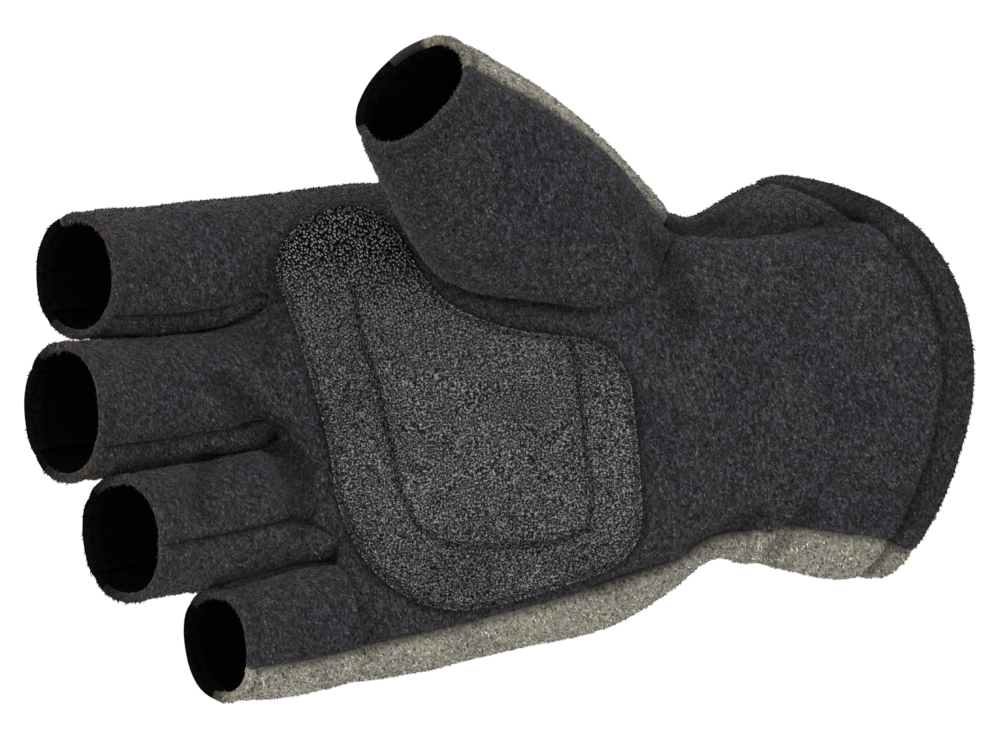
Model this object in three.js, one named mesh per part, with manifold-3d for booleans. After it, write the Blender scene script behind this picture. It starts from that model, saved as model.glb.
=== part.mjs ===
// Half-finger fleece glove for fishing, right hand, with a set-in thumb and a leatherette palm patch.
// Millimetres. +X leaves through the cuff, +Y is the back of the hand, +Z is the thumb side.
// The origin is the centre of the cuff opening.
import * as THREE from "three";
import { mergeVertices } from "three/addons/utils/BufferGeometryUtils.js";
import Module from "manifold-3d";

// Cloth
const FLEECE = 2.0;
const HEM = 3.2;
const CUFF_HEM_S = 0.07;
const FINGER_HEM_V = 1.86;
const THUMB_HEM_T = 0.9;
const SEAM_GAP = 0.35;
const PATCH_LIFT = 0.35;
const PATCH = 1.0;
const HOLE_GAP = 0.35;
const SEAM_SHIFT = 2.0;
const EVEN_PASSES = 3;

// The palm and wrist as closed sections, from the cuff edge (s 0) to the finger roots (s 1).
// x and z place the centre, lean shifts the thumb edge along X, half is the half breadth, y the mid depth.
// front and back are the half depths; edge, bow and lift carry the palm side along X, X and Z.
// power is the section's squareness; thumb_seam and little_seam are the seam angles, from the palm centre.
const BODY_COLUMNS = ["s", "x", "z", "lean", "half", "y", "front", "back", "edge", "bow", "lift",
  "power", "thumb_seam", "little_seam"];
const BODY = [
  [0.00, -3.9, -1.2, -11.4, 47.0, 0, 26, 26, 8, 20.8, 13.5, 2.1, 112, -66],
  [0.07, -9.2, -2.1, -11.8, 46.4, -3, 25, 25, 7.5, 19, 12.5, 2.1, 112, -62],
  [0.16, -17.3, -3.8, -10.5, 45.0, -7, 24, 24, 6, 14, 9, 2.1, 112, -57],
  [0.26, -30.3, -3.7, -4.8, 40.8, -10.9, 22.5, 22.5, 3.8, 6.3, 4.3, 2.17, 112, -56],
  [0.30, -35.5, -4.1, -3, 39.9, -12, 22, 22, 3, 4, 3, 2.2, 112, -66],
  [0.38, -44.8, -6.7, -2, 44.3, -13, 21.6, 21.6, 2, 2, 2, 2.25, 112, -60],
  [0.45, -53.7, -9.5, -1.2, 48.0, -14, 21, 21, 1, 1, 1, 2.3, 112, -52],
  [0.62, -78.1, -11.0, 0, 53.6, -14, 21, 20, 0, 0, 0, 2.4, 112, -52],
  [0.80, -105.9, -13.9, 0, 57.4, -14, 21, 19, 0, 0, 0, 2.4, 112, -53],
  [1.00, -138, -17.8, 0, 58.4, -14, 19, 18, 0, 0, 0, 2.4, 112, -55],
  [1.15, -161.7, -20.9, 0, 58.3, -14, 18, 17, 0, 0, 0, 2.4, 112, -55],
];

// Each finger tube: t runs from inside the palm to the open end; half breadth and half depth.
const TUBE_COLUMNS = ["t", "x", "y", "z", "half", "deep"];
const FINGERS = [
  {
    name: "index",
    front: [112, -42],
    back: [112, 220],
    rows: [
      [0.00, -119.9, -14, 27.2, 14.2, 17],
      [0.35, -140.6, -17, 24.8, 14.8, 15],
      [0.68, -160.9, -26, 21.8, 15.5, 13.7],
      [1.00, -178.8, -43, 20.6, 14.4, 13.4],
    ],
  },
  {
    name: "middle",
    front: [96, -32],
    back: [140, 220],
    rows: [
      [0.00, -118.7, -15, -1.2, 14.5, 17],
      [0.35, -140.4, -21, -5, 15, 15],
      [0.68, -161.5, -33, -8, 15.9, 14],
      [1.00, -181, -51, -9.8, 16.5, 13.6],
    ],
  },
  {
    name: "ring",
    front: [96, -8],
    back: [140, 220],
    rows: [
      [0.00, -109.4, -15, -27.6, 13.5, 16],
      [0.35, -128.9, -21, -31.4, 14.6, 14.5],
      [0.68, -149, -34, -35.4, 15.1, 13.8],
      [1.00, -167.6, -52, -38.3, 15.1, 13.4],
    ],
  },
  {
    name: "little",
    front: [80, -24],
    back: [132, 336],
    rows: [
      [0.00, -100.1, -14, -53.7, 15, 15.5],
      [0.35, -115.1, -20, -57, 14.2, 14],
      [0.68, -130.9, -30, -59.7, 14.9, 13],
      [1.00, -146.9, -43, -62.4, 13, 12.4],
    ],
  },
];
const TUBE_POWER = 2.2;

// Where the palm divides into fingers: thumb edge, three crotches, little-finger edge.
const CROTCH_S = [0.99, 0.985, 0.975, 0.9, 0.885];
const CROTCH_ANGLE = { front: [33, 3, -25], back: [147, 177, 205] };
const CROTCH_T = 0.3;
const CROTCH_ROUND = 0.1;
const SLIT_SPREAD = 1.05;
const SLIT_LEAST = 1;
const SLIT_EASE = 0.7;
const SLIT_KEPT = { from: 1.2, to: 1.55 };
const BLEND_FROM = 0.78;
const BLEND_TO = 1.3;
const PACE = ((1 - CROTCH_T) * (1 - BLEND_FROM)) / CROTCH_T;

// The set-in thumb: its seam on the palm and back, then three rings out to the open end.
const THUMB_SEAM_COLUMNS = ["phi", "s", "angle"];
const THUMB_SEAM = [
  [0, 0.55, 26.8],
  [30, 0.47, 27.8],
  [60, 0.395, 37],
  [90, 0.353, 72],
  [120, 0.395, 110],
  [150, 0.49, 130],
  [180, 0.61, 132],
  [210, 0.71, 112],
  [240, 0.745, 72],
  [270, 0.738, 44],
  [300, 0.705, 32],
  [330, 0.64, 28.6],
];
const RING_COLUMNS = ["t", "x", "y", "z", "half", "deep", "heading", "curl"];
const THUMB_RINGS = [
  [0.35, -78.8, -33, 37.7, 24.5, 17, 124, 30],
  [0.70, -92, -45, 52, 20.6, 14.3, 128, 38],
  [1.00, -102.6, -57, 62.2, 15, 12.8, 135, 44],
];
const THUMB_EDGE = { lower: -100, upper_at_palm: 80, upper_at_end: 57 };
const THUMB_CLEAR = 0.6;

// Soft folds, seen from the front: a line, the width to each side and the height (a crease is below 0).
// facing is -1 on the palm side, 1 on the back and 0 where the fold goes round the edge.
const FOLD_COLUMNS = ["x_from", "z_from", "x_to", "z_to", "width", "height", "facing"];
const FOLDS = [
  [-145, -4, -129, -23, 8, -1.6, -1],
  [-133, -16, -127, -36, 8, -1.5, -1],
  [-150, -21, -150, -31, 7, -1.1, -1],
  [-136, 2, -137, 22, 8, -1.0, -1],
  [-46, 28, -40, 12, 9, -1.4, -1],
  [-42, 34, -3, 33, 8, -1.9, -1],
  [-38, -41, -24, -34, 6, -1.9, -1],
  [-29, -47, -20, -37, 5, 1.5, -1],
  [-20, -42, -12, -33, 5, -1.8, -1],
  [-60, -51, -45, -45, 6, -1.2, -1],
];

// The palm patch, seen from the front, clockwise from its narrow end.
const PATCH_COLUMNS = ["x", "z"];
const PATCH_OUTLINE = [
  [-117, 36.8], [-110.6, 35.2], [-104.9, 29.7], [-100.5, 22.1], [-95, 15.7], [-87.5, 11.8],
  [-81.1, 9.6], [-68.5, 7.7], [-61.7, 6.8], [-56.6, 3.8], [-53.7, -0.5], [-51.6, -12.4],
  [-50.5, -24.9], [-50.2, -34.3], [-51.6, -40], [-56.6, -45.1], [-65.6, -48.7], [-74.9, -51.9],
  [-84.3, -54.4], [-92.5, -55.3], [-100.1, -54], [-107.4, -50.1], [-113.8, -43.7], [-118.8, -34.3],
  [-122.5, -15.6], [-128.2, 4.5], [-131.4, 13.9], [-133.9, 20.3], [-134.1, 24.6], [-132.5, 29],
  [-128.2, 33.3], [-123.2, 35.8],
];

// How finely the cloth is faceted
const BODY_ROWS = [0, 0.035, 0.07, 0.12, 0.18, 0.24, 0.3, 0.36, 0.43, 0.5, 0.57, 0.64, 0.71, 0.78, 0.84,
  0.9, 0.95, 1];
const FINGER_ROWS = [1.013, 1.05, 1.1, 1.18, 1.28, 1.4, 1.54, 1.7, 1.86, 2];
const COLUMNS_FRONT = [8, 6, 6, 6];
const COLUMNS_BACK = [6, 6, 6, 8];
const FOURCHETTE_STEPS = 6;
const THUMB_ROWS = [0, 0.08, 0.18, 0.3, 0.42, 0.55, 0.7, 0.85, 0.93, 1];
const THUMB_STEPS = 14;

// Curves and sections

const named = (row, names, name) => row[names.indexOf(name)];
const column = (rows, names, name) => rows.map((row) => named(row, names, name));

// A smooth curve through the values ys at the stations xs.
function smooth(xs, ys, x) {
  const n = xs.length;
  const slope = (k) => (ys[k + 1] - ys[k]) / (xs[k + 1] - xs[k]);
  const inner = (k) => {
    const before = xs[k] - xs[k - 1];
    const after = xs[k + 1] - xs[k];
    return (slope(k - 1) * after + slope(k) * before) / (before + after);
  };
  const tangent = (k) => {
    if (k === 0) return 1.5 * slope(0) - 0.5 * inner(1);
    if (k === n - 1) return 1.5 * slope(n - 2) - 0.5 * inner(n - 2);
    return inner(k);
  };
  let k = 0;
  while (k < n - 2 && x >= xs[k + 1]) k++;
  const h = xs[k + 1] - xs[k];
  const t = (x - xs[k]) / h;
  return (
    ys[k] * (1 + 2 * t) * (1 - t) ** 2 +
    ys[k + 1] * t * t * (3 - 2 * t) +
    h * (tangent(k) * t * (1 - t) ** 2 - tangent(k + 1) * t * t * (1 - t))
  );
}

function table(rows, names) {
  const xs = rows.map((row) => row[0]);
  const values = {};
  for (const name of names) values[name] = column(rows, names, name);
  return (name, x) => smooth(xs, values[name], x);
}

function closedTable(rows, names, period) {
  const before = rows.slice(-3).map((row) => [row[0] - period, ...row.slice(1)]);
  const after = rows.slice(0, 3).map((row) => [row[0] + period, ...row.slice(1)]);
  const read = table([...before, ...rows, ...after], names);
  return (name, x) => read(name, ((x % period) + period) % period);
}

const ease = (from, to, x) => {
  const t = Math.min(1, Math.max(0, (x - from) / (to - from)));
  return t * t * (3 - 2 * t);
};
const mix = (a, b, t) => a + (b - a) * t;
const radians = (degrees) => (degrees * Math.PI) / 180;

// A point of a rounded section: c towards the front, q towards the thumb side.
function rounded(angle, power) {
  const c = Math.cos(radians(angle));
  const q = Math.sin(radians(angle));
  const m = (Math.abs(c) ** power + Math.abs(q) ** power) ** (1 / power);
  return [c / m, q / m];
}

const bodyAt = table(BODY, BODY_COLUMNS);
function body(s, angle) {
  const [c, q] = rounded(angle, bodyAt("power", s));
  const depth = c > 0 ? bodyAt("front", s) : bodyAt("back", s);
  const front = Math.max(c, 0) ** 2;
  return new THREE.Vector3(
    bodyAt("x", s) + bodyAt("lean", s) * q + bodyAt("edge", s) * c + bodyAt("bow", s) * front,
    bodyAt("y", s) - c * depth,
    bodyAt("z", s) + bodyAt("half", s) * q + bodyAt("lift", s) * front,
  );
}

for (const finger of FINGERS) finger.at = table(finger.rows, TUBE_COLUMNS);
const axisPoint = (finger, t) =>
  new THREE.Vector3(finger.at("x", t), finger.at("y", t), finger.at("z", t));

function fingerPoint(finger, t, angle) {
  const along = axisPoint(finger, t + 1e-3).sub(axisPoint(finger, t - 1e-3)).normalize();
  const side = new THREE.Vector3(0, 0, 1).addScaledVector(along, -along.z).normalize();
  const back = new THREE.Vector3().crossVectors(along, side);
  const [c, q] = rounded(angle, TUBE_POWER);
  return axisPoint(finger, t)
    .addScaledVector(side, q * finger.at("half", t))
    .addScaledVector(back, -c * finger.at("deep", t));
}

// The two panels: v runs from the cuff (0) over the crotch line (1) to the finger ends (2).

function panelBase(side, i, a, v) {
  const k = Math.min(3, i);
  const crotch = mix(CROTCH_S[k], CROTCH_S[k + 1], a);
  const s = crotch * (v < 1 ? v : 1 + PACE * (v - 1));
  const seamS = Math.min(s, 1);
  const turn = side === "front" ? 0 : 360;
  const angles = [
    bodyAt("thumb_seam", seamS),
    ...CROTCH_ANGLE[side],
    bodyAt("little_seam", seamS) + turn,
  ];
  const onBody = body(s, mix(angles[i], angles[i + 1], a));
  const finger = FINGERS[i];
  const before = Math.min(1, Math.max(0, (v - BLEND_FROM) / (1 - BLEND_FROM)));
  const t = v < 1 ? CROTCH_T * before : mix(CROTCH_T, 1, v - 1);
  const onFinger = fingerPoint(finger, t, mix(finger[side][0], finger[side][1], a));
  return onBody.lerp(onFinger, ease(BLEND_FROM, BLEND_TO, v));
}

// 0 at the crotch, rising like a quarter circle to 1 along the slit.
function opening(v) {
  const q = Math.min(1, Math.max(0, (v - 1) / CROTCH_ROUND));
  return Math.sqrt(1 - (1 - q) ** 2);
}

// The two sides of a slit, which meet at the crotch; up is 1 for the side nearer to the thumb.
// Near the crotch they stay at least twice SLIT_LEAST apart in Z, by an eased maximum.
function parted(own, other, v, up) {
  const middle = own.clone().add(other).multiplyScalar(0.5);
  const half = own.clone().sub(middle);
  const free = up * half.z + SLIT_SPREAD;
  const over = free - SLIT_LEAST;
  const kept = SLIT_LEAST + (over + Math.hypot(over, SLIT_EASE)) / 2;
  half.z = up * mix(kept, free, ease(SLIT_KEPT.from, SLIT_KEPT.to, v));
  return half.multiplyScalar(opening(v)).add(middle);
}

function panelPoint(side, i, a, v) {
  const p = panelBase(side, i, a, v);
  if (i < 3) {
    const own = panelBase(side, i, 1, v);
    const edge = parted(own, panelBase(side, i + 1, 0, v), v, 1);
    p.addScaledVector(edge.sub(own), a ** 3);
  }
  if (i > 0) {
    const own = panelBase(side, i, 0, v);
    const edge = parted(own, panelBase(side, i - 1, 1, v), v, -1);
    p.addScaledVector(edge.sub(own), (1 - a) ** 3);
  }
  return p;
}

// A side strip between fingers k and k + 1; b runs from the palm seam to the back seam.
function armPoint(k, upper, b, v) {
  const i = k + upper;
  const finger = FINGERS[i];
  const from = finger.front[upper ? 0 : 1];
  const to = upper ? finger.back[0] : finger.back[1] - 360;
  const t = mix(CROTCH_T, 1, v - 1);
  const a = upper ? 0 : 1;
  const front = panelBase("front", i, a, v).sub(fingerPoint(finger, t, from));
  const back = panelBase("back", i, a, v).sub(fingerPoint(finger, t, to));
  return fingerPoint(finger, t, mix(from, to, b)).add(front.lerp(back, b));
}

const fourchettePoint = (k, upper, b, v) =>
  parted(armPoint(k, upper, b, v), armPoint(k, 1 - upper, b, v), v, upper ? -1 : 1);

// The thumb

const seamAt = closedTable(THUMB_SEAM, THUMB_SEAM_COLUMNS, 360);
const thumbSeam = (phi) => body(seamAt("s", phi), seamAt("angle", phi));

function thumbRing(row, phi) {
  const [, x, y, z, half, deep, heading, curl] = row;
  const flat = Math.cos(radians(curl));
  const across = new THREE.Vector3(Math.sin(radians(heading)), 0, -Math.cos(radians(heading)));
  const along = new THREE.Vector3(
    Math.cos(radians(heading)) * flat,
    -Math.sin(radians(curl)),
    Math.sin(radians(heading)) * flat,
  );
  const back = new THREE.Vector3().crossVectors(along, across);
  if (back.y < 0) back.negate();
  const [c, q] = rounded(phi, TUBE_POWER);
  return new THREE.Vector3(x, y, z)
    .addScaledVector(across, q * half)
    .addScaledVector(back, -c * deep);
}

function thumbPoint(t, phi) {
  const stations = [0, ...column(THUMB_RINGS, RING_COLUMNS, "t")];
  const loops = [thumbSeam(phi), ...THUMB_RINGS.map((row) => thumbRing(row, phi))];
  const at = (axis) => smooth(stations, loops.map((p) => p[axis]), t);
  const point = new THREE.Vector3(at("x"), at("y"), at("z"));
  return t > 0 ? keptOut(point, THUMB_CLEAR * Math.min(1, t / 0.1)) : point;
}

// Moves a point that lies within the palm out to its skin, and a little further.
function keptOut(point, clear) {
  let from = 0;
  let to = 1;
  for (let n = 0; n < 30; n++) {
    const s = (from + to) / 2;
    if (bodyAt("x", s) > point.x) from = s;
    else to = s;
  }
  const dy = point.y - bodyAt("y", from);
  const dz = point.z - bodyAt("z", from);
  const deep = (dy < 0 ? bodyAt("front", from) : bodyAt("back", from)) + clear;
  const power = bodyAt("power", from);
  const half = bodyAt("half", from) + clear;
  const reach = (Math.abs(dy / deep) ** power + Math.abs(dz / half) ** power) ** (1 / power);
  const push = Math.max(1, 1 / reach);
  return new THREE.Vector3(point.x, point.y + dy * (push - 1), point.z + dz * (push - 1));
}

// Sheets of cloth: a list of points with their wall thickness, and four-cornered faces.

function newSheet(name) {
  return { name, points: [], walls: [], faces: [], keys: new Map() };
}

function addPoint(sheet, key, point, wall) {
  if (!sheet.keys.has(key)) {
    sheet.keys.set(key, sheet.points.length);
    sheet.points.push(point);
    sheet.walls.push(wall);
  }
  return sheet.keys.get(key);
}

function addGrid(sheet, rows, steps, keyOf, pointOf, wallOf, flip) {
  for (let r = 0; r + 1 < rows.length; r++) {
    for (let j = 0; j < steps; j++) {
      const corners = [[r, j], [r, j + 1], [r + 1, j + 1], [r + 1, j]].map(([row, step]) =>
        addPoint(sheet, keyOf(row, step), pointOf(rows[row], step / steps), wallOf(rows[row])),
      );
      sheet.faces.push(flip ? corners.reverse() : corners);
    }
  }
}

const panelWall = (v) => {
  const hem = v < CUFF_HEM_S + 1e-6 || v > FINGER_HEM_V - 1e-6;
  return hem ? HEM : FLEECE;
};

function panelSheet(name, side, columns) {
  const sheet = newSheet(name);
  const rows = [...BODY_ROWS, ...FINGER_ROWS];
  for (let i = 0; i < 4; i++) {
    const keyOf = (row, step) => {
      const shared = rows[row] <= 1 && step === columns[i] && i < 3;
      return shared ? [row, i + 1, 0].join() : [row, i, step].join();
    };
    const pointOf = (v, a) => panelPoint(side, i, a, v);
    addGrid(sheet, rows, columns[i], keyOf, pointOf, panelWall, side === "front");
  }
  return sheet;
}

function fourchetteSheet(k) {
  const names = FINGERS.map((finger) => finger.name);
  const sheet = newSheet("fourchette_" + names[k] + "_" + names[k + 1]);
  const rows = [1, ...FINGER_ROWS];
  for (const upper of [0, 1]) {
    const keyOf = (row, step) => (row === 0 ? [0, step].join() : [row, step, upper].join());
    const pointOf = (v, b) => fourchettePoint(k, upper, b, v);
    addGrid(sheet, rows, FOURCHETTE_STEPS, keyOf, pointOf, panelWall, upper === 0);
  }
  return sheet;
}

const thumbWall = (t) => (t > THUMB_HEM_T ? HEM : FLEECE);

const thumbEdge = (t) => mix(THUMB_EDGE.upper_at_palm, THUMB_EDGE.upper_at_end, t);

function thumbSheet(name, from, to, steps) {
  const sheet = newSheet(name);
  const pointOf = (t, a) => thumbPoint(t, mix(from(t), to(t), a));
  addGrid(sheet, THUMB_ROWS, steps, (row, step) => [row, step].join(), pointOf, thumbWall, false);
  return sheet;
}

function faceNormals(sheet) {
  sheet.normals = sheet.points.map(() => new THREE.Vector3());
  for (const face of sheet.faces) {
    const [a, b, c, d] = face.map((i) => sheet.points[i]);
    const normal = new THREE.Vector3().crossVectors(c.clone().sub(a), d.clone().sub(b));
    for (const i of face) sheet.normals[i].add(normal);
  }
  for (const normal of sheet.normals) normal.normalize();
}

// How far the folds raise or sink the cloth at a point.
function foldHeight(p, normal) {
  let height = 0;
  for (const row of FOLDS) {
    const at = (name) => named(row, FOLD_COLUMNS, name);
    const from = new THREE.Vector2(at("x_from"), at("z_from"));
    const run = new THREE.Vector2(at("x_to"), at("z_to")).sub(from);
    const off = new THREE.Vector2(p.x, p.z).sub(from);
    const share = Math.min(1, Math.max(0, off.dot(run) / run.lengthSq()));
    const r = Math.min(1, off.addScaledVector(run, -share).length() / at("width"));
    const seen = at("facing") === 0 ? 1 : ease(-0.2, 0.4, at("facing") * normal.y);
    height += at("height") * seen * (1 - r * r) ** 2 * (1 - 2.5 * r * r);
  }
  return height;
}

// Where two sheets meet in a seam, both turn inwards along the mean of their normals.
function joinSeams(sheets) {
  const met = new Map();
  const keyOf = (p) => [p.x, p.y, p.z].map((value) => value.toFixed(3)).join();
  for (const sheet of sheets) {
    sheet.points.forEach((p, i) => {
      const key = keyOf(p);
      if (!met.has(key)) met.set(key, new THREE.Vector3());
      met.get(key).add(sheet.normals[i]);
    });
  }
  for (const sheet of sheets) {
    const means = sheet.points.map((p) => met.get(keyOf(p)).clone().normalize());
    sheet.inward = means.map((mean, i) => {
      const square = mean.dot(sheet.normals[i]);
      const sideways = Math.sqrt(Math.max(0, 1 - square * square));
      const reach = Math.min(sheet.walls[i] / Math.max(0.35, square), SEAM_SHIFT / Math.max(0.1, sideways));
      return mean.clone().multiplyScalar(-reach);
    });
    sheet.points = sheet.points.map((p, i) => p.clone().addScaledVector(means[i], foldHeight(p, means[i])));
  }
}

// Evens the inward steps beside a seam, so that the inner side does not fold over itself.
function evenInward(sheet) {
  const fixed = new Set(edgesOf(sheet).flat());
  for (let pass = 0; pass < EVEN_PASSES; pass++) {
    const sums = sheet.points.map(() => new THREE.Vector3());
    for (const face of sheet.faces) {
      for (const i of face) {
        for (const j of face) sums[i].add(sheet.inward[j]);
      }
    }
    sheet.inward = sheet.inward.map((own, i) => {
      if (fixed.has(i)) return own;
      const direction = sums[i].normalize();
      return direction.multiplyScalar(sheet.walls[i] / Math.max(0.35, -direction.dot(sheet.normals[i])));
    });
  }
}

function edgesOf(sheet) {
  const count = new Map();
  const edges = [];
  for (const face of sheet.faces) {
    face.forEach((a, n) => edges.push([a, face[(n + 1) % 4]]));
  }
  for (const [a, b] of edges) {
    const key = Math.min(a, b) + "_" + Math.max(a, b);
    count.set(key, (count.get(key) || 0) + 1);
  }
  return edges.filter(([a, b]) => count.get(Math.min(a, b) + "_" + Math.max(a, b)) === 1);
}

// Draws the edge of a sheet back by the seam gap, within the sheet.
function drawBack(sheet, edges) {
  const pull = new Map();
  const onEdge = new Set(edges.flat());
  for (const face of sheet.faces) {
    const centre = new THREE.Vector3();
    for (const i of face) centre.addScaledVector(sheet.points[i], 0.25);
    for (const i of face.filter((corner) => onEdge.has(corner))) {
      if (!pull.has(i)) pull.set(i, new THREE.Vector3());
      pull.get(i).add(centre.clone().sub(sheet.points[i]).normalize());
    }
  }
  const alongEdge = new Map();
  for (const [a, b] of edges) {
    const run = sheet.points[b].clone().sub(sheet.points[a]).normalize();
    for (const i of [a, b]) {
      if (!alongEdge.has(i)) alongEdge.set(i, new THREE.Vector3());
      alongEdge.get(i).add(run);
    }
  }
  for (const [i, direction] of pull) {
    const run = alongEdge.get(i).normalize();
    direction.addScaledVector(run, -direction.dot(run)).normalize();
    sheet.points[i] = sheet.points[i].clone().addScaledVector(direction, SEAM_GAP);
  }
}

// The closed wall between two offsets of a sheet, as triangles.
function wallGeometry(sheet, outerPoints, innerPoints) {
  const positions = [];
  const triangle = (a, b, c) => positions.push(...a.toArray(), ...b.toArray(), ...c.toArray());
  const quad = (a, b, c, d) => {
    const shorter = a.distanceTo(c) <= b.distanceTo(d);
    if (shorter) {
      triangle(a, b, c);
      triangle(a, c, d);
    } else {
      triangle(a, b, d);
      triangle(b, c, d);
    }
  };
  for (const [a, b, c, d] of sheet.faces) {
    quad(outerPoints[a], outerPoints[b], outerPoints[c], outerPoints[d]);
    quad(innerPoints[d], innerPoints[c], innerPoints[b], innerPoints[a]);
  }
  for (const [a, b] of edgesOf(sheet)) {
    quad(outerPoints[b], outerPoints[a], innerPoints[a], innerPoints[b]);
  }
  const geometry = new THREE.BufferGeometry();
  geometry.setAttribute("position", new THREE.BufferAttribute(new Float32Array(positions), 3));
  return geometry;
}

function clothGeometry(sheet) {
  drawBack(sheet, edgesOf(sheet));
  const inner = sheet.points.map((p, i) => p.clone().add(sheet.inward[i]));
  return wallGeometry(sheet, sheet.points, inner);
}

// Joining and cutting

const wasm = await Module();
wasm.setup();

function solid(geometry) {
  const plain = geometry.index ? geometry.toNonIndexed() : geometry.clone();
  plain.deleteAttribute("normal");
  plain.deleteAttribute("uv");
  const merged = mergeVertices(plain, 1e-4);
  return new wasm.Manifold(
    new wasm.Mesh({
      numProp: 3,
      vertProperties: merged.attributes.position.array,
      triVerts: new Uint32Array(merged.index.array),
    }),
  );
}

function geometryOf(manifold) {
  const mesh = manifold.getMesh();
  const geometry = new THREE.BufferGeometry();
  const points = new Float32Array(mesh.numVert * 3);
  for (let i = 0; i < mesh.numVert; i++) {
    points.set(mesh.vertProperties.subarray(i * mesh.numProp, i * mesh.numProp + 3), i * 3);
  }
  geometry.setAttribute("position", new THREE.BufferAttribute(points, 3));
  geometry.setIndex(new THREE.BufferAttribute(new Uint32Array(mesh.triVerts), 1));
  const flat = geometry.toNonIndexed();
  flat.computeVertexNormals();
  return flat;
}

// The piece of the palm's skin inside the thumb seam, made thick, which is cut out of both panels.
function thumbHole() {
  const steps = 60;
  const phis = Array.from({ length: steps }, (_, j) => (360 * j) / steps);
  const middleS = phis.reduce((sum, phi) => sum + seamAt("s", phi) / steps, 0);
  const middleAngle = phis.reduce((sum, phi) => sum + seamAt("angle", phi) / steps, 0);
  const ring = (share, height) =>
    phis.map((phi) => {
      const s = mix(middleS, seamAt("s", phi), share);
      const angle = mix(middleAngle, seamAt("angle", phi), share);
      const middle = body(middleS, middleAngle);
      const away = body(s, angle).sub(middle).normalize();
      const gap = share === 1 ? HOLE_GAP : 0;
      return body(s, angle).addScaledVector(skinNormal(s, angle), height).addScaledVector(away, gap);
    });
  const inner = [0.2, 0.4, 0.6, 0.8, 1].map((share) => ring(share, -5));
  const outer = [1, 0.8, 0.6, 0.4, 0.2].map((share) => ring(share, 4));
  return solid(cappedRings([...inner, ...outer]));
}

// The outward direction of the palm's skin.
function skinNormal(s, angle) {
  const across = body(s, angle + 1).sub(body(s, angle - 1));
  const along = body(s + 0.01, angle).sub(body(s - 0.01, angle));
  return across.cross(along).normalize();
}

// Rings joined into a closed body with a fan over each end.
function cappedRings(rings) {
  const positions = [];
  const push = (...points) => points.forEach((p) => positions.push(p.x, p.y, p.z));
  const middle = (ring) => {
    const sum = new THREE.Vector3();
    for (const p of ring) sum.addScaledVector(p, 1 / ring.length);
    return sum;
  };
  const first = middle(rings[0]);
  const last = middle(rings[rings.length - 1]);
  const n = rings[0].length;
  for (let j = 0; j < n; j++) {
    const k = (j + 1) % n;
    push(first, rings[0][k], rings[0][j]);
    push(last, rings[rings.length - 1][j], rings[rings.length - 1][k]);
    for (let r = 0; r + 1 < rings.length; r++) {
      push(rings[r][j], rings[r + 1][k], rings[r + 1][j]);
      push(rings[r][j], rings[r][k], rings[r + 1][k]);
    }
  }
  const geometry = new THREE.BufferGeometry();
  geometry.setAttribute("position", new THREE.BufferAttribute(new Float32Array(positions), 3));
  return geometry;
}

// The patch is a second skin on the palm, cut to its outline.
function patchSolid(palm) {
  const lift = (height) => palm.points.map((p, i) => p.clone().addScaledVector(palm.normals[i], height));
  const near = (p) => p.x > -142 && p.x < -40 && p.y < -10;
  const faces = palm.faces.filter((face) => face.every((i) => near(palm.points[i])));
  const skin = { ...palm, faces };
  const layer = solid(wallGeometry(skin, lift(PATCH_LIFT + PATCH), lift(PATCH_LIFT)));
  const corner = (row) => new THREE.Vector3(...PATCH_COLUMNS.map((name) => named(row, PATCH_COLUMNS, name)));
  const curve = new THREE.CatmullRomCurve3(PATCH_OUTLINE.map(corner), true, "centripetal");
  const outline = curve.getPoints(64).slice(0, -1);
  const shape = new THREE.Shape(outline.map((p) => new THREE.Vector2(p.x, p.y)));
  const prism = new THREE.ExtrudeGeometry(shape, { depth: 60, bevelEnabled: false });
  prism.rotateX(Math.PI / 2);
  return layer.intersect(solid(prism));
}

const sheets = {
  palm: panelSheet("palm_panel", "front", COLUMNS_FRONT),
  back: panelSheet("back_panel", "back", COLUMNS_BACK),
  strips: [0, 1, 2].map(fourchetteSheet),
  thumbFront: thumbSheet("thumb_front", () => THUMB_EDGE.lower, thumbEdge, THUMB_STEPS),
  thumbBack: thumbSheet("thumb_back", thumbEdge, () => THUMB_EDGE.lower + 360, THUMB_STEPS),
};
const cloth = [sheets.palm, sheets.back, ...sheets.strips, sheets.thumbFront, sheets.thumbBack];
cloth.forEach(faceNormals);
joinSeams(cloth);
cloth.forEach(evenInward);

const glove = new THREE.Group();
glove.name = "fishing_glove";

function add(name, geometry, color, roughness) {
  geometry.computeVertexNormals();
  const material = new THREE.MeshStandardMaterial({ color, roughness, metalness: 0 });
  const mesh = new THREE.Mesh(geometry, material);
  mesh.name = name;
  glove.add(mesh);
}

const DARK = 0x35353a;
const GREY = 0x8f8d86;
const BROWN = 0x332e2e;
const LEATHERETTE = 0x2c2d2f;

const patch = geometryOf(patchSolid(sheets.palm));
const hole = thumbHole();
add("palm_panel", geometryOf(solid(clothGeometry(sheets.palm)).subtract(hole)), DARK, 0.95);
add("back_panel", geometryOf(solid(clothGeometry(sheets.back)).subtract(hole)), GREY, 0.95);
for (const strip of sheets.strips) add(strip.name, clothGeometry(strip), BROWN, 0.95);
add("thumb_front", clothGeometry(sheets.thumbFront), DARK, 0.95);
add("thumb_back", clothGeometry(sheets.thumbBack), GREY, 0.95);
add("palm_patch", patch, LEATHERETTE, 0.55);

export default glove;
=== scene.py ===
"""Half-finger fleece fishing glove for the right hand, filled out as it is worn.

Metres in Blender, millimetres in the tables. +X leaves through the cuff, +Y is the back of the hand,
+Z is the thumb side. The origin is the centre of the cuff opening.
"""

import math

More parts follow.
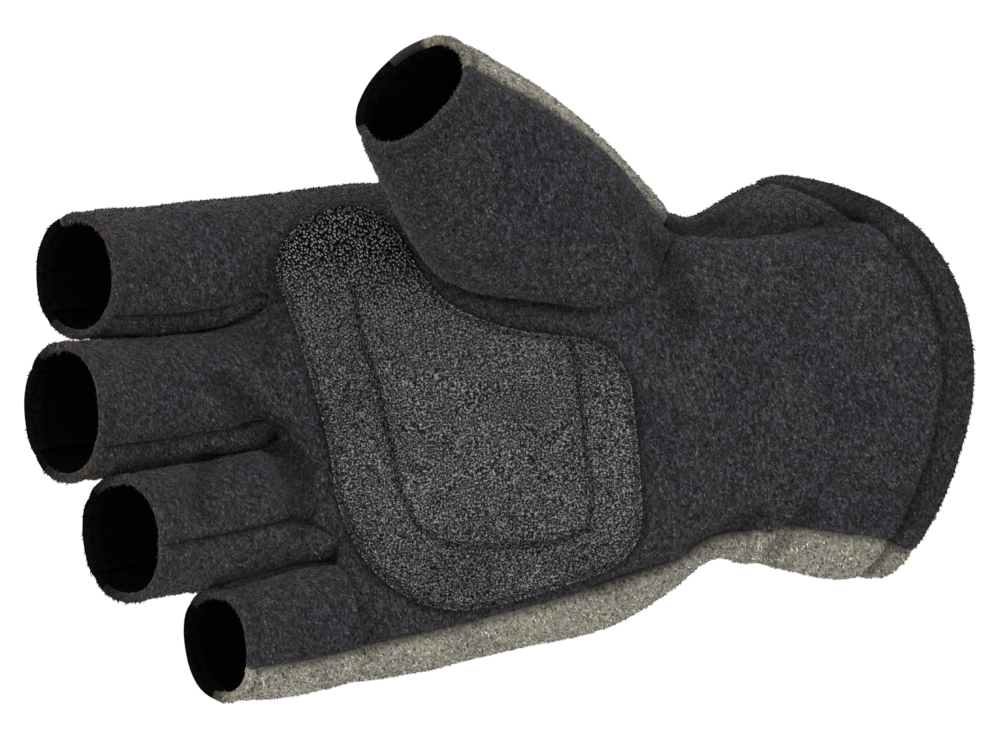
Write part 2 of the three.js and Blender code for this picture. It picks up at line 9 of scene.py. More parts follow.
import bpy
import numpy as np
from bpy.props import FloatProperty, FloatVectorProperty, PointerProperty
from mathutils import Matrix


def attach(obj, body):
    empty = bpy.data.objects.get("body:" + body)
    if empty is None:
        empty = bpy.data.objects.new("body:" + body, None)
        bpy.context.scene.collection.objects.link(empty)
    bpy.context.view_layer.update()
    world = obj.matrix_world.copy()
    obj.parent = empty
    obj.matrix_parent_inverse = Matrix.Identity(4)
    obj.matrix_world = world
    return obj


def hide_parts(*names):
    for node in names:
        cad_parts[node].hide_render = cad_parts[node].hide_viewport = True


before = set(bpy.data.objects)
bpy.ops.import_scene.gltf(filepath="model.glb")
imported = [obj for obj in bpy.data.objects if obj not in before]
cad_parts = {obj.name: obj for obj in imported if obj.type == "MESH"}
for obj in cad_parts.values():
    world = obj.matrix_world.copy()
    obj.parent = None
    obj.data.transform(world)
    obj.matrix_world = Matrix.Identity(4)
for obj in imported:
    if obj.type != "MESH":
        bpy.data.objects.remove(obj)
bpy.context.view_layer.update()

bl_info = {
    "name": "Fishing Glove",
    "version": (1, 0, 0),
    "blender": (4, 5, 0),
    "location": "View3D > Sidebar > Glove",
    "description": "Builds a half-finger fleece glove with a leatherette palm patch",
    "category": "Add Mesh",
}

MM = 0.001

# Shape tables, as the solids', but the little finger's seam by the wrist lies up to 1.7 mm nearer the
# photo's, and the slits between the fingers stand closer.
BODY_COLUMNS = ("s x z lean half y front back edge bow lift power thumb_seam little_seam").split()
BODY = np.array([
    [0.00, -3.9, -1.2, -11.4, 47.0, 0, 26, 26, 8, 20.8, 13.5, 2.1, 112, -66],
    [0.07, -9.2, -2.1, -11.8, 46.4, -3, 25, 25, 7.5, 19, 12.5, 2.1, 112, -62],
    [0.16, -17.3, -3.8, -10.5, 45.0, -7, 24, 24, 6, 14, 9, 2.1, 112, -56],
    [0.26, -30.3, -3.7, -4.8, 40.8, -10.9, 22.5, 22.5, 3.8, 6.3, 4.3, 2.17, 112, -57],
    [0.30, -35.5, -4.1, -3, 39.9, -12, 22, 22, 3, 4, 3, 2.2, 112, -61],
    [0.38, -44.8, -6.7, -2, 44.3, -13, 21.6, 21.6, 2, 2, 2, 2.25, 112, -57],
    [0.45, -53.7, -9.5, -1.2, 48.0, -14, 21, 21, 1, 1, 1, 2.3, 112, -50.5],
    [0.62, -78.1, -11.0, 0, 53.6, -14, 21, 20, 0, 0, 0, 2.4, 112, -52],
    [0.80, -105.9, -13.9, 0, 57.4, -14, 21, 19, 0, 0, 0, 2.4, 112, -53],
    [1.00, -138, -17.8, 0, 58.4, -14, 19, 18, 0, 0, 0, 2.4, 112, -55],
    [1.15, -161.7, -20.9, 0, 58.3, -14, 18, 17, 0, 0, 0, 2.4, 112, -55],
])

TUBE_COLUMNS = "t x y z half deep".split()
FINGERS = [
    {"name": "index", "front": (112, -42), "back": (112, 220), "rows": np.array([
        [0.00, -119.9, -14, 27.2, 14.2, 17],
        [0.35, -140.6, -17, 24.8, 14.8, 15],
        [0.68, -160.9, -26, 21.8, 15.5, 13.7],
        [1.00, -178.8, -43, 20.6, 14.4, 13.4],
    ])},
    {"name": "middle", "front": (96, -32), "back": (140, 220), "rows": np.array([
        [0.00, -118.7, -15, -1.2, 14.5, 17],
        [0.35, -140.4, -21, -5, 15, 15],
        [0.68, -161.5, -33, -8, 15.9, 14],
        [1.00, -181, -51, -9.8, 16.5, 13.6],
    ])},
    {"name": "ring", "front": (96, -8), "back": (140, 220), "rows": np.array([
        [0.00, -109.4, -15, -27.6, 13.5, 16],
        [0.35, -128.9, -21, -31.4, 14.6, 14.5],
        [0.68, -149, -34, -35.4, 15.1, 13.8],
        [1.00, -167.6, -52, -38.3, 15.1, 13.4],
    ])},
    {"name": "little", "front": (80, -24), "back": (132, 336), "rows": np.array([
        [0.00, -100.1, -14, -53.7, 15, 15.5],
        [0.35, -115.1, -20, -57, 14.2, 14],
        [0.68, -130.9, -30, -59.7, 14.9, 13],
        [1.00, -146.9, -43, -62.4, 13, 12.4],
    ])},
]
TUBE_POWER = 2.2

CROTCH_S = [0.99, 0.985, 0.975, 0.9, 0.885]
CROTCH_ANGLE = {"front": [33, 3, -25], "back": [147, 177, 205]}
CROTCH_T = 0.3
CROTCH_ROUND = 0.1
SLIT_SPREAD = 0.9
SLIT_LEAST = 0.15
SLIT_EASE = 0.4
SLIT_KEPT = (1.2, 1.45)
BLEND_FROM = 0.78
BLEND_TO = 1.3
PACE = (1 - CROTCH_T) * (1 - BLEND_FROM) / CROTCH_T

THUMB_SEAM = np.array([
    [0, 0.55, 26.8], [30, 0.47, 27.8], [60, 0.395, 37], [90, 0.353, 72], [120, 0.395, 110],
    [150, 0.49, 130], [180, 0.61, 132], [210, 0.71, 112], [240, 0.745, 72], [270, 0.738, 44],
    [300, 0.705, 32], [330, 0.64, 28.6],
])
# Columns: t x y z half deep heading curl
THUMB_RINGS = np.array([
    [0.35, -78.8, -33, 37.7, 24.5, 17, 124, 30],
    [0.70, -92, -45, 52, 20.6, 14.3, 128, 38],
    [1.00, -102.6, -57, 62.2, 15, 12.8, 135, 44],
])
THUMB_EDGE = {"lower": -100, "upper_at_palm": 80, "upper_at_end": 57}
THUMB_CLEAR = 0.6

# Folds, seen from the front. Columns: from x z, to x z, width, height
FOLDS = np.array([
    [-145, -4, -129, -23, 8, -1.6],
    [-133, -16, -127, -36, 8, -1.5],
    [-150, -21, -150, -31, 7, -1.1],
    [-136, 2, -137, 22, 8, -1.0],
    [-46, 28, -40, 12, 9, -1.4],
    [-42, 34, -3, 33, 8, -1.9],
    [-38, -41, -24, -34, 6, -1.9],
    [-29, -47, -20, -37, 5, 1.5],
    [-20, -42, -12, -33, 5, -1.8],
    [-60, -51, -45, -45, 6, -1.2],
])

PATCH_OUTLINE = np.array([
    [-117, 36.8], [-110.6, 35.2], [-104.9, 29.7], [-100.5, 22.1], [-95, 15.7], [-87.5, 11.8],
    [-81.1, 9.6], [-68.5, 7.7], [-61.7, 6.8], [-56.6, 3.8], [-53.7, -0.5], [-51.6, -12.4],
    [-50.5, -24.9], [-50.2, -34.3], [-51.6, -40], [-56.6, -45.1], [-65.6, -48.7], [-74.9, -51.9],
    [-84.3, -54.4], [-92.5, -55.3], [-100.1, -54], [-107.4, -50.1], [-113.8, -43.7], [-118.8, -34.3],
    [-122.5, -15.6], [-128.2, 4.5], [-131.4, 13.9], [-133.9, 20.3], [-134.1, 24.6], [-132.5, 29],
    [-128.2, 33.3], [-123.2, 35.8],
])
PATCH_INNER_LINE = np.array([
    [-116.3, 18.9], [-114.5, 8.9], [-110.6, -4.2], [-107.4, -18.1], [-104.4, -30], [-100.1, -36.8],
    [-93.7, -40], [-81.1, -40.3], [-69.9, -39.3], [-63.5, -36.1], [-62.1, -31.1], [-63, -18.6],
    [-64.2, -6.2], [-65.6, 2], [-66.7, 5.9],
])
PATCH_MIDDLE = np.array([-103.0, -8.0])

# The patch's grid: points round its edge, how far in its first rings lie, and the rings on to its middle
PATCH_CORNERS = 620
PATCH_DEPTHS = np.array([0, 0.12, 0.3, 0.55, 0.85, 1.1, 1.35, 1.7, 2.2, 2.9, 3.8])
PATCH_RINGS = 52

# A stitch: how far it lies below the patch's face, and its length as a share of the pitch
STITCH_SUNK = 0.38
STITCH_SHARE = 0.78

# Lines on the cuff, seen from the front: the fold beside the thumb and the ridge above it.
CUFF_FOLD = np.array([[-44, 34.5], [-37.2, 31.4], [-27.2, 30.9], [-17.3, 32.8], [-3.9, 35.3], [6, 33.6]])
CUFF_RIDGE = np.array([[-36, 32.5], [-30.5, 35.1], [-23.8, 40.9], [-19.1, 44.1], [-13.1, 43.2], [-2.5, 36.7]])

# Along X: the hem past CUFF_FROM is the cuff's, and the fingers lie before FINGERS_TO.
CUFF_FROM = -45
FINGERS_TO = -100

# Hems: the sewn line's distance from the rim, its depth, the painted shade along it and its width, and how
# much the turned cloth beyond it is raised and darkened by painted shade
HEMS = {
    "cuff": {"line": 7.4, "deep": 1.0, "dark": 0.5, "wide": 0.8, "high": 0.45, "shade": 0.22, "wall": 3.0},
    "grey": {"line": 2.9, "deep": 0.8, "dark": 0.7, "wide": 0.45, "high": 0.3, "shade": 0.0},
    "dark": {"line": 2.9, "deep": 0.4, "dark": 0.25, "wide": 0.8, "high": 0.3, "shade": 0.0},
}

# Places seen from the front: the ends of the side strips in the palm, and a crease in the grey cloth.
FOURCHETTE_ENDS = np.array([[-137.2, 15.7], [-131.6, -16.7], [-121.2, -41.4]])
CREASE_BENDS = np.array([
    [-25.8, -38.2], [-25.2, -40.4], [-26.4, -43.4], [-29.5, -44.2], [-22, -44.9], [-15, -45.6],
])
WRIST_CREASE = np.concatenate([np.linspace(a, b, 20) for a, b in zip(CREASE_BENDS[:-1], CREASE_BENDS[1:])])

# Unevenness of the cloth, as height, size and seed of smooth noise
UNEVEN = ((0.28, 9.0, 3), (0.12, 3.2, 5))

# Tints that multiply the cloth's colour: plain, and a browned tone near the open ends.
PLAIN_TINT = np.array([1.0, 1.0, 1.0])
HEM_TINT = np.array([1.0, 0.87, 0.70])
# Each sheet's share of the browning, and DARKEST the most that a tint takes away.
BROWNED_SHARE = {"back_panel": 0.45, "thumb_back": 0.45, "thumb_front": 0.5}
DARKEST = 0.92

# The inner face is painted black as shade this far in from an open end, apart from the edge turned in where
# it faces the front.
UNLIT_TO = 38
TURNED_IN = 2.0

# The nap's lean, its most tufts on a sheet, and the darkest tint that still shows tufts
NAP_LEAN = np.array([0.35, 0.0, -0.94])
NAP_MOST = 185000
NAP_TINT = 0.14

# The camera looks along +Y at the photo's scale. The lamps' columns: name, place in metres, size, watts
CAMERA_PLACE = (-82.7, -1200, -1.41)
FRAME_WIDTH = 235
SENSOR = 36
FLOOR_MIDDLE = [-90, 0, -260]
FLOOR_RADIUS = 9000
FLOOR_CORNERS = 96
LAMPS = (
    ("key_softbox", (-0.55, -0.9, 0.9), 0.6, 9.0),
    ("fill_softbox", (0.7, -1.0, 0.1), 0.8, 3.0),
)
LAMP_AIM = (-0.09, -0.02, 0.0)


def size_property(name, description, value):
    return FloatProperty(name=name, description=description, default=value, unit="LENGTH")


class GloveSizes(bpy.types.PropertyGroup):
    """Sizes of the cloth, its seams and the patch."""

    fleece: size_property("Fleece", "Thickness of the fleece", 0.002)
    side_fleece: size_property("Side fleece", "Thickness of the fleece between the fingers", 0.001)
    nap_length: size_property("Nap length", "Length of a tuft of nap", 0.00095)
    nap_width: size_property("Nap width", "Width of a tuft at its root", 0.00046)
    nap_count: FloatProperty(
        name="Nap count", description="Tufts to a square millimetre", default=3.2, min=0, max=8)
    rim: size_property("Rim", "Thickness of the cloth at an open end", 0.0022)
    seam_depth: size_property("Seam depth", "How deep a seam sinks between the puffed cloth", 0.0011)
    seam_width: size_property("Seam width", "How far the cloth turns down beside a seam", 0.0021)
    cloth_step: size_property("Cloth step", "Spacing of the cloth's grid", 0.0011)
    patch: size_property("Patch", "Thickness of the palm patch", 0.001)
    patch_lift: size_property("Patch lift", "Air between the patch and the fleece", 0.0003)
    edge_stitch: size_property("Edge stitch", "Distance from the patch's edge to its stitching", 0.0012)
    stitch_pitch: size_property("Stitch pitch", "Distance between stitches", 0.0024)
    thread: size_property("Thread", "Diameter of the sewing thread", 0.0004)


def linear(colour):
    """An sRGB hex colour such as 0x35353a as linear red, green, blue and alpha."""
    parts = np.array([(colour >> 16) & 255, (colour >> 8) & 255, colour & 255]) / 255
    return (*np.where(parts <= 0.04045, parts / 12.92, ((parts + 0.055) / 1.055) ** 2.4).tolist(), 1.0)


def colour_property(name, description, colour):
    return FloatVectorProperty(
        name=name, description=description, subtype="COLOR", size=4, min=0, max=1, default=linear(colour))


class GloveColours(bpy.types.PropertyGroup):
    """Colours of the cloth, the patch and the thread."""

    dark: colour_property("Palm fleece", "Charcoal fleece of the palm and the thumb's front", 0x262528)
    grey: colour_property("Back fleece", "Grey fleece of the back and the thumb's back", 0x7c796e)
    brown: colour_property("Side fleece", "Brown-black fleece between the fingers", 0x2c2b2d)
    patch: colour_property("Leatherette", "Black pebbled leatherette", 0x2c2c2d)
    thread: colour_property("Thread", "Sewing thread", 0x232326)


# Curves and sections

def smooth(stations, values, x):
    """A cubic curve through the values at the stations, with slopes weighted by the neighbouring spans."""
    stations = np.asarray(stations, float)
    values = np.asarray(values, float)
    spans = np.diff(stations)
    wide = spans.reshape((-1,) + (1,) * (values.ndim - 1))
    slopes = np.diff(values, axis=0) / wide
    tangents = np.empty_like(values)
    tangents[1:-1] = (slopes[:-1] * wide[1:] + slopes[1:] * wide[:-1]) / (wide[:-1] + wide[1:])
    tangents[0] = 1.5 * slopes[0] - 0.5 * tangents[1]
    tangents[-1] = 1.5 * slopes[-1] - 0.5 * tangents[-2]
    x = np.asarray(x, float)
    k = np.clip(np.searchsorted(stations, x, side="right") - 1, 0, len(spans) - 1)
    t = ((x - stations[k]) / spans[k]).reshape(x.shape + (1,) * (values.ndim - 1))
    h = spans[k].reshape(t.shape)
    return (values[k] * (1 + 2 * t) * (1 - t) ** 2 + values[k + 1] * t * t * (3 - 2 * t)
            + h * (tangents[k] * t * (1 - t) ** 2 - tangents[k + 1] * t * t * (1 - t)))


def reader(rows, columns):
    """Reads a named column of a table at any station."""
    return lambda name, x: smooth(rows[:, 0], rows[:, columns.index(name)], x)


def ease(low, high, x):
    """A smooth cubic step from 0 at low to 1 at high; low may be the larger of the two."""
    t = np.clip((x - low) / (high - low), 0, 1)
    return t * t * (3 - 2 * t)


def mix(a, b, t):
    """From a to b by the share t."""
    return a + (b - a) * t


def bell(x, centre, width):
    """A bell curve: the exponential of minus the square of the distance from its centre over its width."""
    return np.exp(-((x - centre) / width) ** 2)


def unit(vectors):
    """The vectors at length 1."""
    return vectors / np.maximum(np.linalg.norm(vectors, axis=-1, keepdims=True), 1e-12)


def together(*values):
    """The values as arrays of one shape."""
    return np.broadcast_arrays(*(np.asarray(value, float) for value in values))


def run_along(points):
    """Distances along a line of points from its first."""
    return np.concatenate([[0], np.cumsum(np.linalg.norm(np.diff(points, axis=0), axis=1))])


def rounded(angle, power):
    """A rounded section: cosine and sine divided by their power mean."""
    c, q = np.cos(np.radians(angle)), np.sin(np.radians(angle))
    m = (np.abs(c) ** power + np.abs(q) ** power) ** (1 / power)
    return c / m, q / m


body_at = reader(BODY, BODY_COLUMNS)
for each in FINGERS:
    each["at"] = reader(each["rows"], TUBE_COLUMNS)


def body(s, angle):
    """The palm and wrist: a rounded section at s, leaning and bowed along X by its palm side."""
    s, angle = together(s, angle)
    c, q = rounded(angle, body_at("power", s))
    deep = np.where(c > 0, body_at("front", s), body_at("back", s))
    palm = np.maximum(c, 0) ** 2
    return np.stack([
        body_at("x", s) + body_at("lean", s) * q + body_at("edge", s) * c + body_at("bow", s) * palm,
        body_at("y", s) - c * deep,
        body_at("z", s) + body_at("half", s) * q + body_at("lift", s) * palm,
    ], -1)


def finger_point(finger, t, angle):
    """A finger tube: its axis plus a rounded section across it."""
    t, angle = together(t, angle)
    at = finger["at"]
    axis = lambda x: np.stack([at("x", x), at("y", x), at("z", x)], -1)
    along = unit(axis(t + 1e-3) - axis(t - 1e-3))
    up = np.array([0, 0, 1.0])
    side = unit(up - along * along[..., 2:3])
    back = np.cross(along, side)
    c, q = rounded(angle, TUBE_POWER)
    return axis(t) + side * (q * at("half", t))[..., None] - back * (c * at("deep", t))[..., None]


# The two panels: v runs from the cuff (0) over the crotch line (1) to the finger ends (2)

def panel_angle(side, i, a, s):
    """The angle round the body at station s, a share a across finger i's part of a panel."""
    seam_s = np.minimum(s, 1)
    turn = 0 if side == "front" else 360
    angles = [body_at("thumb_seam", seam_s), *CROTCH_ANGLE[side], body_at("little_seam", seam_s) + turn]
    return mix(angles[i], angles[i + 1], a)


def panel_base(side, i, a, v):
    """The body's skin passing into finger i's skin; a runs across the finger's share of the panel."""
    a, v = together(a, v)
    crotch = mix(CROTCH_S[i], CROTCH_S[i + 1], a)
    s = crotch * np.where(v < 1, v, 1 + PACE * (v - 1))
    on_body = body(s, panel_angle(side, i, a, s))
    finger = FINGERS[i]
    before = np.clip((v - BLEND_FROM) / (1 - BLEND_FROM), 0, 1)
    t = np.where(v < 1, CROTCH_T * before, mix(CROTCH_T, 1, v - 1))
    on_finger = finger_point(finger, t, mix(finger[side][0], finger[side][1], a))
    return mix(on_body, on_finger, ease(BLEND_FROM, BLEND_TO, v)[..., None])


def opening(v):
    """0 at the crotch, rising like a quarter circle to 1 along the slit."""
    q = np.clip((v - 1) / CROTCH_ROUND, 0, 1)
    return np.sqrt(1 - (1 - q) ** 2)


def parted(own, other, v, up):
    """One side of a slit: the mean of both sides plus its half, opened along v and kept apart in Z."""
    middle = (own + other) / 2
    half = own - middle
    free = up * half[..., 2] + SLIT_SPREAD
    over = free - SLIT_LEAST
    kept = SLIT_LEAST + (over + np.hypot(over, SLIT_EASE)) / 2
    half[..., 2] = up * mix(kept, free, ease(*SLIT_KEPT, v))
    return middle + half * opening(v)[..., None]


def panel_point(side, i, a, v):
    """The panel with its slits: the skin follows a parted edge by the cube of the share across to it."""
    a, v = together(a, v)
    p = panel_base(side, i, a, v)
    if i < 3:
        own = panel_base(side, i, 1, v)
        edge = parted(own, panel_base(side, i + 1, 0, v), v, 1)
        p = p + (edge - own) * (a ** 3)[..., None]
    if i > 0:
        own = panel_base(side, i, 0, v)
        edge = parted(own, panel_base(side, i - 1, 1, v), v, -1)
        p = p + (edge - own) * ((1 - a) ** 3)[..., None]
    return p


def arm_point(k, upper, b, v):
    """The fourchette's side of finger k + upper, between the palm seam (b 0) and the back seam (b 1)."""
    i = k + upper
    finger = FINGERS[i]
    low = finger["front"][0 if upper else 1]
    high = finger["back"][0] if upper else finger["back"][1] - 360
    t = mix(CROTCH_T, 1, v - 1)
    a = 0 if upper else 1
    front = panel_base("front", i, a, v) - finger_point(finger, t, low)
    back = panel_base("back", i, a, v) - finger_point(finger, t, high)
    return finger_point(finger, t, mix(low, high, b)) + mix(front, back, np.asarray(b)[..., None])


def fourchette_point(k, upper, b, v):
    """One arm of a fourchette, kept apart from its other arm as the panels' slits are."""
    b, v = together(b, v)
    return parted(arm_point(k, upper, b, v), arm_point(k, 1 - upper, b, v), v, -1 if upper else 1)


# The thumb

def thumb_seam(phi):
    """Station and angle on the body's skin of the thumb's seam at phi degrees round the thumb."""
    rows = np.concatenate([THUMB_SEAM[-3:] - [360, 0, 0], THUMB_SEAM, THUMB_SEAM[:3] + [360, 0, 0]])
    return smooth(rows[:, 0], rows[:, 1:], np.mod(phi, 360))


def thumb_ring(row, phi):
    """A rounded section across the thumb, aimed by its heading and curl."""
    _, x, y, z, half, deep, heading, curl = row
    h, k = math.radians(heading), math.radians(curl)
    across = np.array([math.sin(h), 0, -math.cos(h)])
    along = np.array([math.cos(h) * math.cos(k), -math.sin(k), math.sin(h) * math.cos(k)])
    back = np.cross(along, across)
    back = back if back[1] > 0 else -back
    c, q = rounded(phi, TUBE_POWER)
    return np.array([x, y, z]) + across * (q * half)[..., None] - back * (c * deep)[..., None]


def kept_out(point, clear):
    """Moves points that lie within the palm out to its skin and a little further."""
    low, high = np.zeros(point.shape[:-1]), np.ones(point.shape[:-1])
    for _ in range(30):
        s = (low + high) / 2
        beyond = body_at("x", s) > point[..., 0]
        low, high = np.where(beyond, s, low), np.where(beyond, high, s)
    dy, dz = point[..., 1] - body_at("y", low), point[..., 2] - body_at("z", low)
    deep = np.where(dy < 0, body_at("front", low), body_at("back", low)) + clear
    power = body_at("power", low)
    reach = (np.abs(dy / deep) ** power + np.abs(dz / (body_at("half", low) + clear)) ** power) ** (1 / power)
    push = np.maximum(1, 1 / np.maximum(reach, 1e-6)) - 1
    return point + np.stack([np.zeros_like(dy), dy * push, dz * push], -1)


def thumb_point(phi, t):
    """A loft from the seam on the palm through three rings to the open end. phi has a row for each t."""
    seam = thumb_seam(phi)
    loops = np.stack([body(seam[..., 0], seam[..., 1])] + [thumb_ring(row, phi) for row in THUMB_RINGS])
    stations = np.array([0, *THUMB_RINGS[:, 0]])
    out = np.stack([smooth(stations, loops[:, k], share) for k, share in enumerate(t)])
    clear = np.broadcast_to((THUMB_CLEAR * np.minimum(1, t / 0.1))[:, None], out.shape[:2])
    return np.concatenate([out[:1], kept_out(out[1:], clear[1:])])


# Sheets of cloth: points, four-cornered faces and distances to their seams and open ends

def value_noise(points, size, seed):
    """Smooth values from -1 to 1: random corners of a cubic lattice, blended by eased weights."""
    q = np.asarray(points) / size
    cell = np.floor(q).astype(np.int64)
    part = q - cell
    part = part * part * (3 - 2 * part)
    total = np.zeros(q.shape[:-1])
    for corner in range(8):
        bit = np.array([corner & 1, corner >> 1 & 1, corner >> 2 & 1])
        at = cell + bit
        mixed = (at[..., 0] * 73856093) ^ (at[..., 1] * 19349663) ^ (at[..., 2] * 83492791) ^ (seed * 2654435)
        mixed = (mixed ^ (mixed >> 13)) * 1274126177 & 0x7FFFFFFF
        mixed = (mixed ^ (mixed >> 16)) & 0xFFFF
        total += (mixed / 32767.5 - 1) * np.prod(np.where(bit, part, 1 - part), -1)
    return total


def unevenness(points, height):
    """A height with the cloth's smooth noise added."""
    for high, size, seed in UNEVEN:
        height = height + high * value_noise(points, size, seed)
    return height


def to_run(place, start, end):
    """A straight run from start to end: its step, the places' offsets from its start, and their distances."""
    run, off = end - start, place - start
    share = np.clip(off @ run / (run @ run), 0, 1)
    return run, off, np.linalg.norm(off - share[..., None] * run, axis=-1)


def fold_height(points, normals):
    """How far the folds raise or sink the cloth: a crease with a low ridge on each side of its line."""
    height = np.zeros(points.shape[:-1])
    seen = ease(-0.2, 0.4, -normals[..., 1])
    for x0, z0, x1, z1, width, high in FOLDS:
        r = np.minimum(1, to_run(points[..., [0, 2]], np.array([x0, z0]), np.array([x1, z1]))[2] / width)
        height += high * seen * (1 - r * r) ** 2 * (1 - 2.5 * r * r)
    return height


def beside_line(points, normals, rows):
    """Distance from a line on the front, above 0 on its thumb side, and how far the cloth faces the front."""
    place = points[:, [0, 2]]
    least, signed = np.full(len(place), 1e3), np.full(len(place), 1e3)
    for start, end in zip(rows[:-1], rows[1:]):
        run, off, distance = to_run(place, start, end)
        side = np.sign(run[0] * off[:, 1] - run[1] * off[:, 0])
        signed = np.where(distance < least, distance * side, signed)
        least = np.minimum(least, distance)
    return signed, ease(0.3, -0.25, normals[:, 1])


def cuff_lines(points, normals):
    """Height, and painted shade and light, of the cuff's fold and ridge.

    The fold drops by a falling exponential on its thumb side and swells as a bell on the other; the ridge
    drops by an eased step outside its line.
    """
    fold, front = beside_line(points, normals, CUFF_FOLD)
    ridge, _ = beside_line(points, normals, CUFF_RIDGE)
    drop = np.where(fold > -0.6, np.exp(-np.maximum(fold, 0) / 3.2) * ease(-0.6, 0.5, fold), 0)
    swell = bell(fold, -3.0, 2.6)
    outside = ease(-0.8, 1.2, ridge) * ease(9, 4, ridge)
    height = front * (-1.5 * drop + 0.7 * swell - 0.9 * outside)
    # Painted shade in the fold's crease and beyond the ridge, painted light on the swell
    crease = bell(fold, 0.3, 0.9)
    dark = front * (0.42 * crease + 0.38 * outside - 0.16 * swell)
    return height, dark


def nearest(points, targets):
    """Distance from each point to the nearest of the targets, in chunks."""
    if not len(targets):
        return np.full(len(points), 1e3)
    out = np.empty(len(points))
    for start in range(0, len(points), 1500):
        block = points[start:start + 1500]
        gaps = (block ** 2).sum(1)[:, None] - 2 * block @ targets.T + (targets ** 2).sum(1)[None]
        out[start:start + 1500] = np.sqrt(np.maximum(gaps.min(1), 0))
    return out


def mean_normals(points, faces):
    """The mean normal at each point, and each face's normal with twice its area as its length."""
    a, b, c, d = (points[faces[:, k]] for k in range(4))
    facing = np.cross(c - a, d - b)
    total = np.zeros_like(points)
    for k in range(4):
        np.add.at(total, faces[:, k], facing)
    return unit(total), facing


def numbered(grid, start=0):
    """Vertex numbers for a grid of points."""
    return np.arange(grid.shape[0] * grid.shape[1]).reshape(grid.shape[:2]) + start


def marked(count, *numbers):
    """True at the given vertex numbers."""
    marks = np.zeros(count, bool)
    marks[np.concatenate(numbers)] = True
    return marks


def grid_faces(index, flip):
    """Four-cornered faces of a grid of vertex numbers."""
    corners = [index[:-1, :-1], index[:-1, 1:], index[1:, 1:], index[1:, :-1]]
    faces = np.stack(corners, -1).reshape(-1, 4)
    return faces[:, ::-1] if flip else faces


class Cloth:
    """A sheet: its points in millimetres, faces, and the vertices on its open ends."""

    grey = ("back_panel", "thumb_back")

    def __init__(self, name, points, faces, open_ends):
        used, faces = np.unique(faces, return_inverse=True)
        self.name = name
        self.points = points[used]
        self.faces = faces.reshape(-1, 4)
        self.open_end = open_ends[used]
        self.extra_seam = np.zeros((0, 3))
        self.edges = self.border()
        self.normals = mean_normals(self.points, self.faces)[0]

    def border(self):
        """The directed edges that only one face has."""
        edges = np.stack([self.faces, np.roll(self.faces, -1, 1)], -1).reshape(-1, 2)
        low = np.sort(edges, 1)
        keys = low[:, 0] * (len(self.points) + 1) + low[:, 1]
        _, back, count = np.unique(keys, return_inverse=True, return_counts=True)
        return edges[count[back] == 1]

    def measure(self, own):
        """Takes the joined normals, and finds the distances to the seams and to the open ends' rims."""
        self.own = own
        border = np.unique(self.edges)
        seam_edges = self.edges[~self.open_end[self.edges].all(1)]
        seam = np.concatenate([self.points[np.unique(seam_edges)], self.extra_seam])
        self.to_seam = nearest(self.points, seam)
        self.to_rim = nearest(self.points, self.points[border[self.open_end[border]]])
        x, z = self.points[:, 0], self.points[:, 2]
        self.at_cuff = x > CUFF_FROM
        self.flat = ease(-68, -58, x) * ease(8, 22, z) * ease(-30, -44, x)

    def hem(self, measure):
        """A measure of the hem for each point: the cuff's, or the finger ends' in this sheet's cloth."""
        ends = HEMS["grey" if self.name in self.grey else "dark"]
        return np.where(self.at_cuff, HEMS["cuff"][measure], ends[measure])


def steps_between(low, high, length, step):
    """Even stations from low to high, about a step apart over a length in millimetres."""
    return np.linspace(low, high, max(3, int(round(length / step)) + 1))


def panel_rows(step):
    """Stations along a panel: even along the palm, finer past the crotch line."""
    palm = steps_between(0, 1, 138, step)
    start = np.array([1.013, 1.028, 1.046])
    return np.concatenate([palm, start, steps_between(1.066, 2, 52, step)])


def within_loop(points, loop):
    """Even-odd test of flat points against a closed loop."""
    ahead = np.roll(loop, -1, 0)
    inside = np.zeros(len(points), bool)
    for (x0, y0), (x1, y1) in zip(loop, ahead):
        crosses = (y0 > points[:, 1]) != (y1 > points[:, 1])
        if y0 != y1:
            inside ^= crosses & (points[:, 0] < (x1 - x0) * (points[:, 1] - y0) / (y1 - y0) + x0)
    return inside


def panel_place(side, i, a, v):
    """Station and angle on the body's skin of a point of a panel."""
    a, v = together(a, v)
    s = mix(CROTCH_S[i], CROTCH_S[i + 1], a) * v
    return np.stack([s, panel_angle(side, i, a, s)], -1)


def panel_cloth(name, side, step):
    """One panel: four finger blocks that share their columns up to the crotch line and part beyond it."""
    rows = panel_rows(step)
    shares = steps_between(0, 1, 30, step)
    shared = int((rows <= 1 + 1e-9).sum())
    hole = thumb_seam(np.arange(0, 360, 3.0))
    hole = hole.mean(0) + (hole - hole.mean(0)) * 0.975
    blocks, index, held, count = [], [], [], 0
    for i in range(4):
        grid = panel_point(side, i, shares[None, :], rows[:, None])
        held.append(~within_loop(panel_place(side, i, shares[None, :], rows[:, None]).reshape(-1, 2), hole))
        numbers = numbered(grid, count)
        if i > 0:
            numbers[:shared, 0] = index[-1][:shared, -1]
        blocks.append(grid.reshape(-1, 3))
        index.append(numbers)
        count += numbers.size
    points = np.concatenate(blocks)
    faces = np.concatenate([grid_faces(numbers, side == "front") for numbers in index])
    faces = faces[np.concatenate(held)[faces].any(1)]
    ends = [row for numbers in index for row in (numbers[0], numbers[-1])]
    cloth = Cloth(name, points, faces, marked(len(points), *ends))
    seam = thumb_seam(np.linspace(0, 360, 900, endpoint=False))
    cloth.extra_seam = body(seam[:, 0], seam[:, 1])
    return cloth


